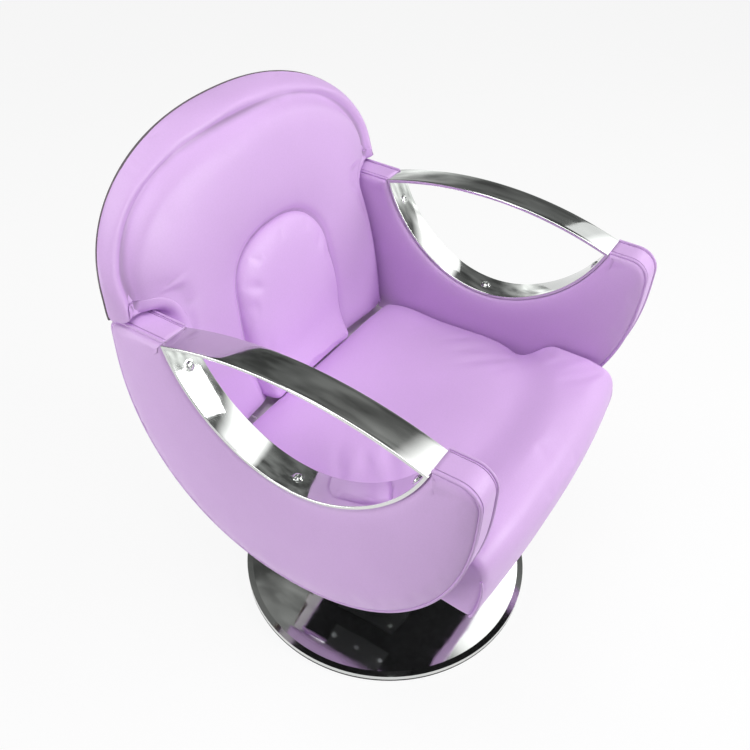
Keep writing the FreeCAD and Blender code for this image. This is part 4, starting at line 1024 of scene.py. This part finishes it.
def make_lumbar():
    counts = (44, 50)
    border = lumbar_border(counts)

    def front(points, distance):
        z = points[:, 1]
        foot = hill(z, LUMBAR_LOW, PILLOW_FOOT_TALL)
        share = 0.74 * quarter(distance, PILLOW_ROUND - 10 * foot) + 0.26 * (1 - np.exp(-distance / 36))
        proud = PILLOW_SEAM + PILLOW_PROUD * (1.08 - 0.6 * smooth(z, 450, 640)) + PILLOW_FOOT * foot
        y = back_face(points) + PILLOW_SEAM - 1.5 - proud * share
        return np.stack([points[:, 0], y, points[:, 1]], 1)

    def rear(points):
        return np.stack([points[:, 0], back_face(points) + PILLOW_SEAM - 0.5, points[:, 1]], 1)

    skin, held = pad_solid(border, counts, PILLOW_ROUND, front, rear, rows=7)
    # The pillow's cover takes the lighter copy of the lilac leather, which is painted light.
    made = skin.build("lumbar_cover", pillow_lit_finish, "seat", "lilac_leather", ("lumbar_pillow",), levels=1)
    swell(made, held, 2.5, 2.5, 20)


# Seat

def crease(across):
    """How far forward the crease between cushion and front roll lies, at a place across the seat."""
    radius = (SEAT_HALF ** 2 + CREASE_BOW ** 2) / (2 * CREASE_BOW)
    return -CREASE_SIDE - CREASE_BOW + radius - np.sqrt(radius ** 2 - np.asarray(across, float) ** 2)


def seat_profile(x, counts):
    """Closed section of the seat at a place across it: over the top, down the nose, back underneath."""
    long, short = counts
    side = SEAT_HALF - abs(x)
    corner = max(abs(x) - (SEAT_HALF - SEAT_CORNER), 0)
    rear = SEAT_REAR - SEAT_CORNER + math.sqrt(SEAT_CORNER ** 2 - corner ** 2)
    fold = float(crease(x))
    nose = -ROLL_FRONT - ROLL_BULGE * (1 - (x / SEAT_HALF) ** 2)
    top = ROLL_LOW + ROLL_TALL
    drawn = SEAT_DRAWN * math.exp(-side / SEAT_DRAWN_WIDE)

    y = fold + (rear - fold) * np.cos(np.linspace(0, math.pi / 2, 80)) ** 0.7
    sag = drawn * (1 - 0.6 * smooth(y, 30, 125))
    gap = rear - y
    rise = 0.72 + 0.11 * quarter(gap, 9) + 0.17 * (1 - np.exp(-gap / 32))
    hollow = SEAT_HOLLOW * np.exp(-((x / 120) ** 2 + ((y - 20) / 95) ** 2))
    dome = SEAT_BASE + SEAT_HEIGHT * rise - SEAT_SLOPE * y - hollow - sag
    near_arm = math.exp(-side / VALLEY_DROP_WIDE)
    valley = SEAT_VALLEY - VALLEY_DROP * near_arm
    ahead_of = np.sqrt((y - fold) ** 2 + 64) - 8
    dome = valley + (dome - valley) * (1 - np.exp(-ahead_of / (38 - 24 * near_arm)))
    behind = np.stack([y, dome], 1)

    share = np.linspace(0, 1, 30)[1:]
    lip = top - 0.15 * drawn
    ahead = np.stack([fold + (nose + ROLL_LIP - fold) * share,
                      valley + (lip - valley) * smooth(share, 0, 1 - 0.5 * near_arm)], 1)
    foot = (nose + 15, ROLL_LOW)
    over = curve_through((ahead[-5], ahead[-1], (nose + 18, lip - 6), (nose + 4, lip - 20),
                          (nose - 0.5, lip - 44), (nose + 1, ROLL_LOW + 44), (nose + 6, ROLL_LOW + 14),
                          (nose + 11, ROLL_LOW + 3), foot), 70)
    turn = 22
    under, step = (BOARD_LOW, 90 - ROLL_STEP) if abs(x) > BOARD_SIDE else (SEAT_BASE, -ROLL_STEP)
    return np.vstack([
        resample(np.vstack([behind, ahead[:-5], over[:turn]]), long + 1)[:-1],
        resample(over[turn - 1:], short + 1)[:-1],
        resample((foot, (-ROLL_STEP, ROLL_LOW), (step, under), (rear, under)), long + 1)[:-1],
        resample(((rear, under), behind[0]), short + 1)[:-1],
    ])


def make_seat():
    """Cushion and front roll under one cover, with a soft valley between them."""
    counts = (104, 24)
    radius = SEAT_END_ROUND
    ends = SEAT_HALF - radius * (1 - np.cos(np.radians((0, 18, 36, 54, 72, 90))))
    stations = np.concatenate([-ends, np.linspace(-ends[-1], ends[-1], 64)[1:-1], ends[::-1]])
    skin = Skin()
    rings = []
    for x in stations:
        points = seat_profile(x, counts)
        inset = radius * (1 - quarter(SEAT_HALF - abs(x), radius))
        points = points + closed_normals(points) * inset * inward_sign(points)
        rings.append(skin.add(np.insert(points, 0, x, axis=1)))
    for first, second in zip(rings, rings[1:]):
        skin.band(first, second)
    points = np.array(skin.points)
    for ring, flip in ((rings[0], True), (rings[-1], False)):
        flat = fill(points[ring][:, 1:], *counts, 120)
        grid = np.concatenate([np.full(flat.shape[:2] + (1,), points[ring[0], 0]), flat], 2)
        skin.cap(ring, grid, flip)
    made = skin.build("seat_cover", finishes["lilac_leather"], "seat", "lilac_leather",
                      ("seat_cushion", "seat_front_roll"), levels=1)
    points = np.array(skin.points)
    held = np.zeros(len(points))
    held[np.abs(points[:, 0]) > SEAT_HALF - 4] = 0.7
    held[points[:, 1] > SEAT_REAR - 8] = 0.9
    held[points[:, 2] < SEAT_BASE + 20] = 0.8
    held[(points[:, 2] < SEAT_BASE + 1) & (points[:, 1] > -ROLL_STEP - 1) | (points[:, 2] < ROLL_LOW + 2)] = 1
    swell(made, held, 4, 4)
    edge = seat_profile(SEAT_HALF - radius, counts)
    inward = closed_normals(edge) * inward_sign(edge)
    nose = slice(counts[0] + 6, sum(counts))
    sunk = 2.2 + 4 * np.exp(-np.arange(counts[1] - 6) / 2.5)
    edge = edge[nose] + inward[nose] * sunk[:, None]
    for side, sign in SIDES:
        path = [(sign * (SEAT_HALF - 1.2), *spot) for spot in edge]
        tube("%s_roll_piping" % side, path, ROLL_PIPING, piping_finish, "seat")


def inward_sign(points):
    """One where the normals of a closed border point inwards, and minus one where they point out."""
    following = np.roll(points, -1, 0)
    return 1 if (points[:, 0] * following[:, 1] - following[:, 0] * points[:, 1]).sum() > 0 else -1


make_back()
make_seat()
for arm_side, arm_sign in SIDES:
    make_arm(arm_side, arm_sign)


# Stage, light and camera

FLOOR_GLOW = 0.9
ROOM_LEVELS = ((0.0, 0.95), (0.3, 0.92), (0.42, 0.34), (0.6, 0.13), (0.88, 0.14), (1.0, 0.2))


def make_floor():
    bpy.ops.mesh.primitive_plane_add(size=16, location=(0, 0, -0.0005))
    floor = bpy.context.object
    floor.name = "floor"
    finish = Finish("floor", Roughness=0.8, Specular_IOR_Level=0.1)
    finish.colour(finish.ramp(finish.noise(3, 2), ((0.3, srgb(244, 244, 245)), (0.7, srgb(248, 248, 248)))))
    seen = finish.add("LightPath")
    direct = finish.worked("MAXIMUM", seen.outputs["Is Camera Ray"], seen.outputs["Is Glossy Ray"])
    share = finish.worked("MULTIPLY", direct, FLOOR_GLOW)
    glow = finish.add("Emission").outputs[0]
    finish.tree.links.new(finish.blended(share, finish.shader.outputs[0], glow), finish.out.inputs[0])
    floor.data.materials.append(finish.material)


def make_world():
    """White to the camera, dim grey to the object, and a dark streaked ceiling in its reflections."""
    world = bpy.data.worlds.new("studio")
    bpy.context.scene.world = world
    world.use_nodes = True
    room = Nodes(world.node_tree, "Generated")
    way = room.add("SeparateXYZ", ((0, room.place),)).outputs
    height = room.worked("MULTIPLY_ADD", room.noise(2.2, 2), 0.35, way["Z"])
    walls = room.ramp(height, [(stop, (level * 0.98, level, level * 0.98, 1)) for stop, level in ROOM_LEVELS])
    beams = room.spread(room.noise(1.6, 4, room.stretched((9, 1.3, 4))), 0.45, 1.6, 0.35, 0.65)
    streaked = room.mixed(1, walls, beams, "MULTIPLY")
    aside = room.worked("ABSOLUTE", way["X"])
    share = room.spread(way["Y"], 1, 0, -0.14, -0.05)
    for value, start, end in ((way["Y"], -0.62, -0.5), (way["Z"], 0.2, 0.34), (aside, 0.2, 0.35)):
        share = room.worked("MULTIPLY", share, room.spread(value, 0, 1, start, end))
    mirrored = room.mixed(share, streaked, (1.7, 1.7, 1.7, 1))
    lit, plain, white = (room.add("Background", (("Color", colour),)).outputs[0]
                         for colour in (mirrored, (0.06, 0.06, 0.062, 1), (1, 1, 1, 1)))
    seen = room.add("LightPath").outputs
    shown = room.blended(seen["Is Camera Ray"], room.blended(seen["Is Glossy Ray"], plain, lit), white)
    room.add("OutputWorld", ((0, shown),))


def lamp(name, place, target, size, power):
    light = bpy.data.lights.new(name, "AREA")
    light.shape = "RECTANGLE"
    light.size, light.size_y = size
    light.energy = power
    made = bpy.data.objects.new(name, light)
    made.location = place
    made.rotation_euler = (Vector(target) - Vector(place)).to_track_quat("-Z", "Y").to_euler()
    bpy.context.scene.collection.objects.link(made)


def make_camera():
    azimuth, elevation, roll = (math.radians(angle) for angle in CAMERA_ANGLES)
    back = Vector((math.sin(azimuth) * math.cos(elevation), -math.cos(azimuth) * math.cos(elevation),
                   math.sin(elevation)))
    right = (-back).cross(Vector((0, 0, 1))).normalized()
    up = right.cross(-back)
    right, up = (right * math.cos(roll) + up * math.sin(roll), up * math.cos(roll) - right * math.sin(roll))
    camera = bpy.data.objects.new("camera", bpy.data.cameras.new("camera"))
    camera.data.lens = CAMERA_LENS
    camera.data.sensor_width = 36
    turn = Matrix((right, up, back)).transposed().to_4x4()
    camera.matrix_world = Matrix.Translation(CAMERA_PLACE) @ turn
    bpy.context.scene.collection.objects.link(camera)
    bpy.context.scene.camera = camera


make_floor()
make_world()
lamp("key", (-0.5, 0.1, 2.6), (0, 0, 0.4), (1.8, 1.4), 32)
lamp("front", (0.9, -2.2, 1.7), (0, 0, 0.45), (1.4, 1.4), 50)
lamp("rear", (-2.2, 1.3, 0.6), (0, 0, 0.45), (1.3, 1.0), 26)
lamp("side", (2.2, -0.6, 1.5), (0, 0, 0.5), (1.0, 1.4), 4)
make_camera()
bpy.context.scene.view_settings.view_transform = "Standard"
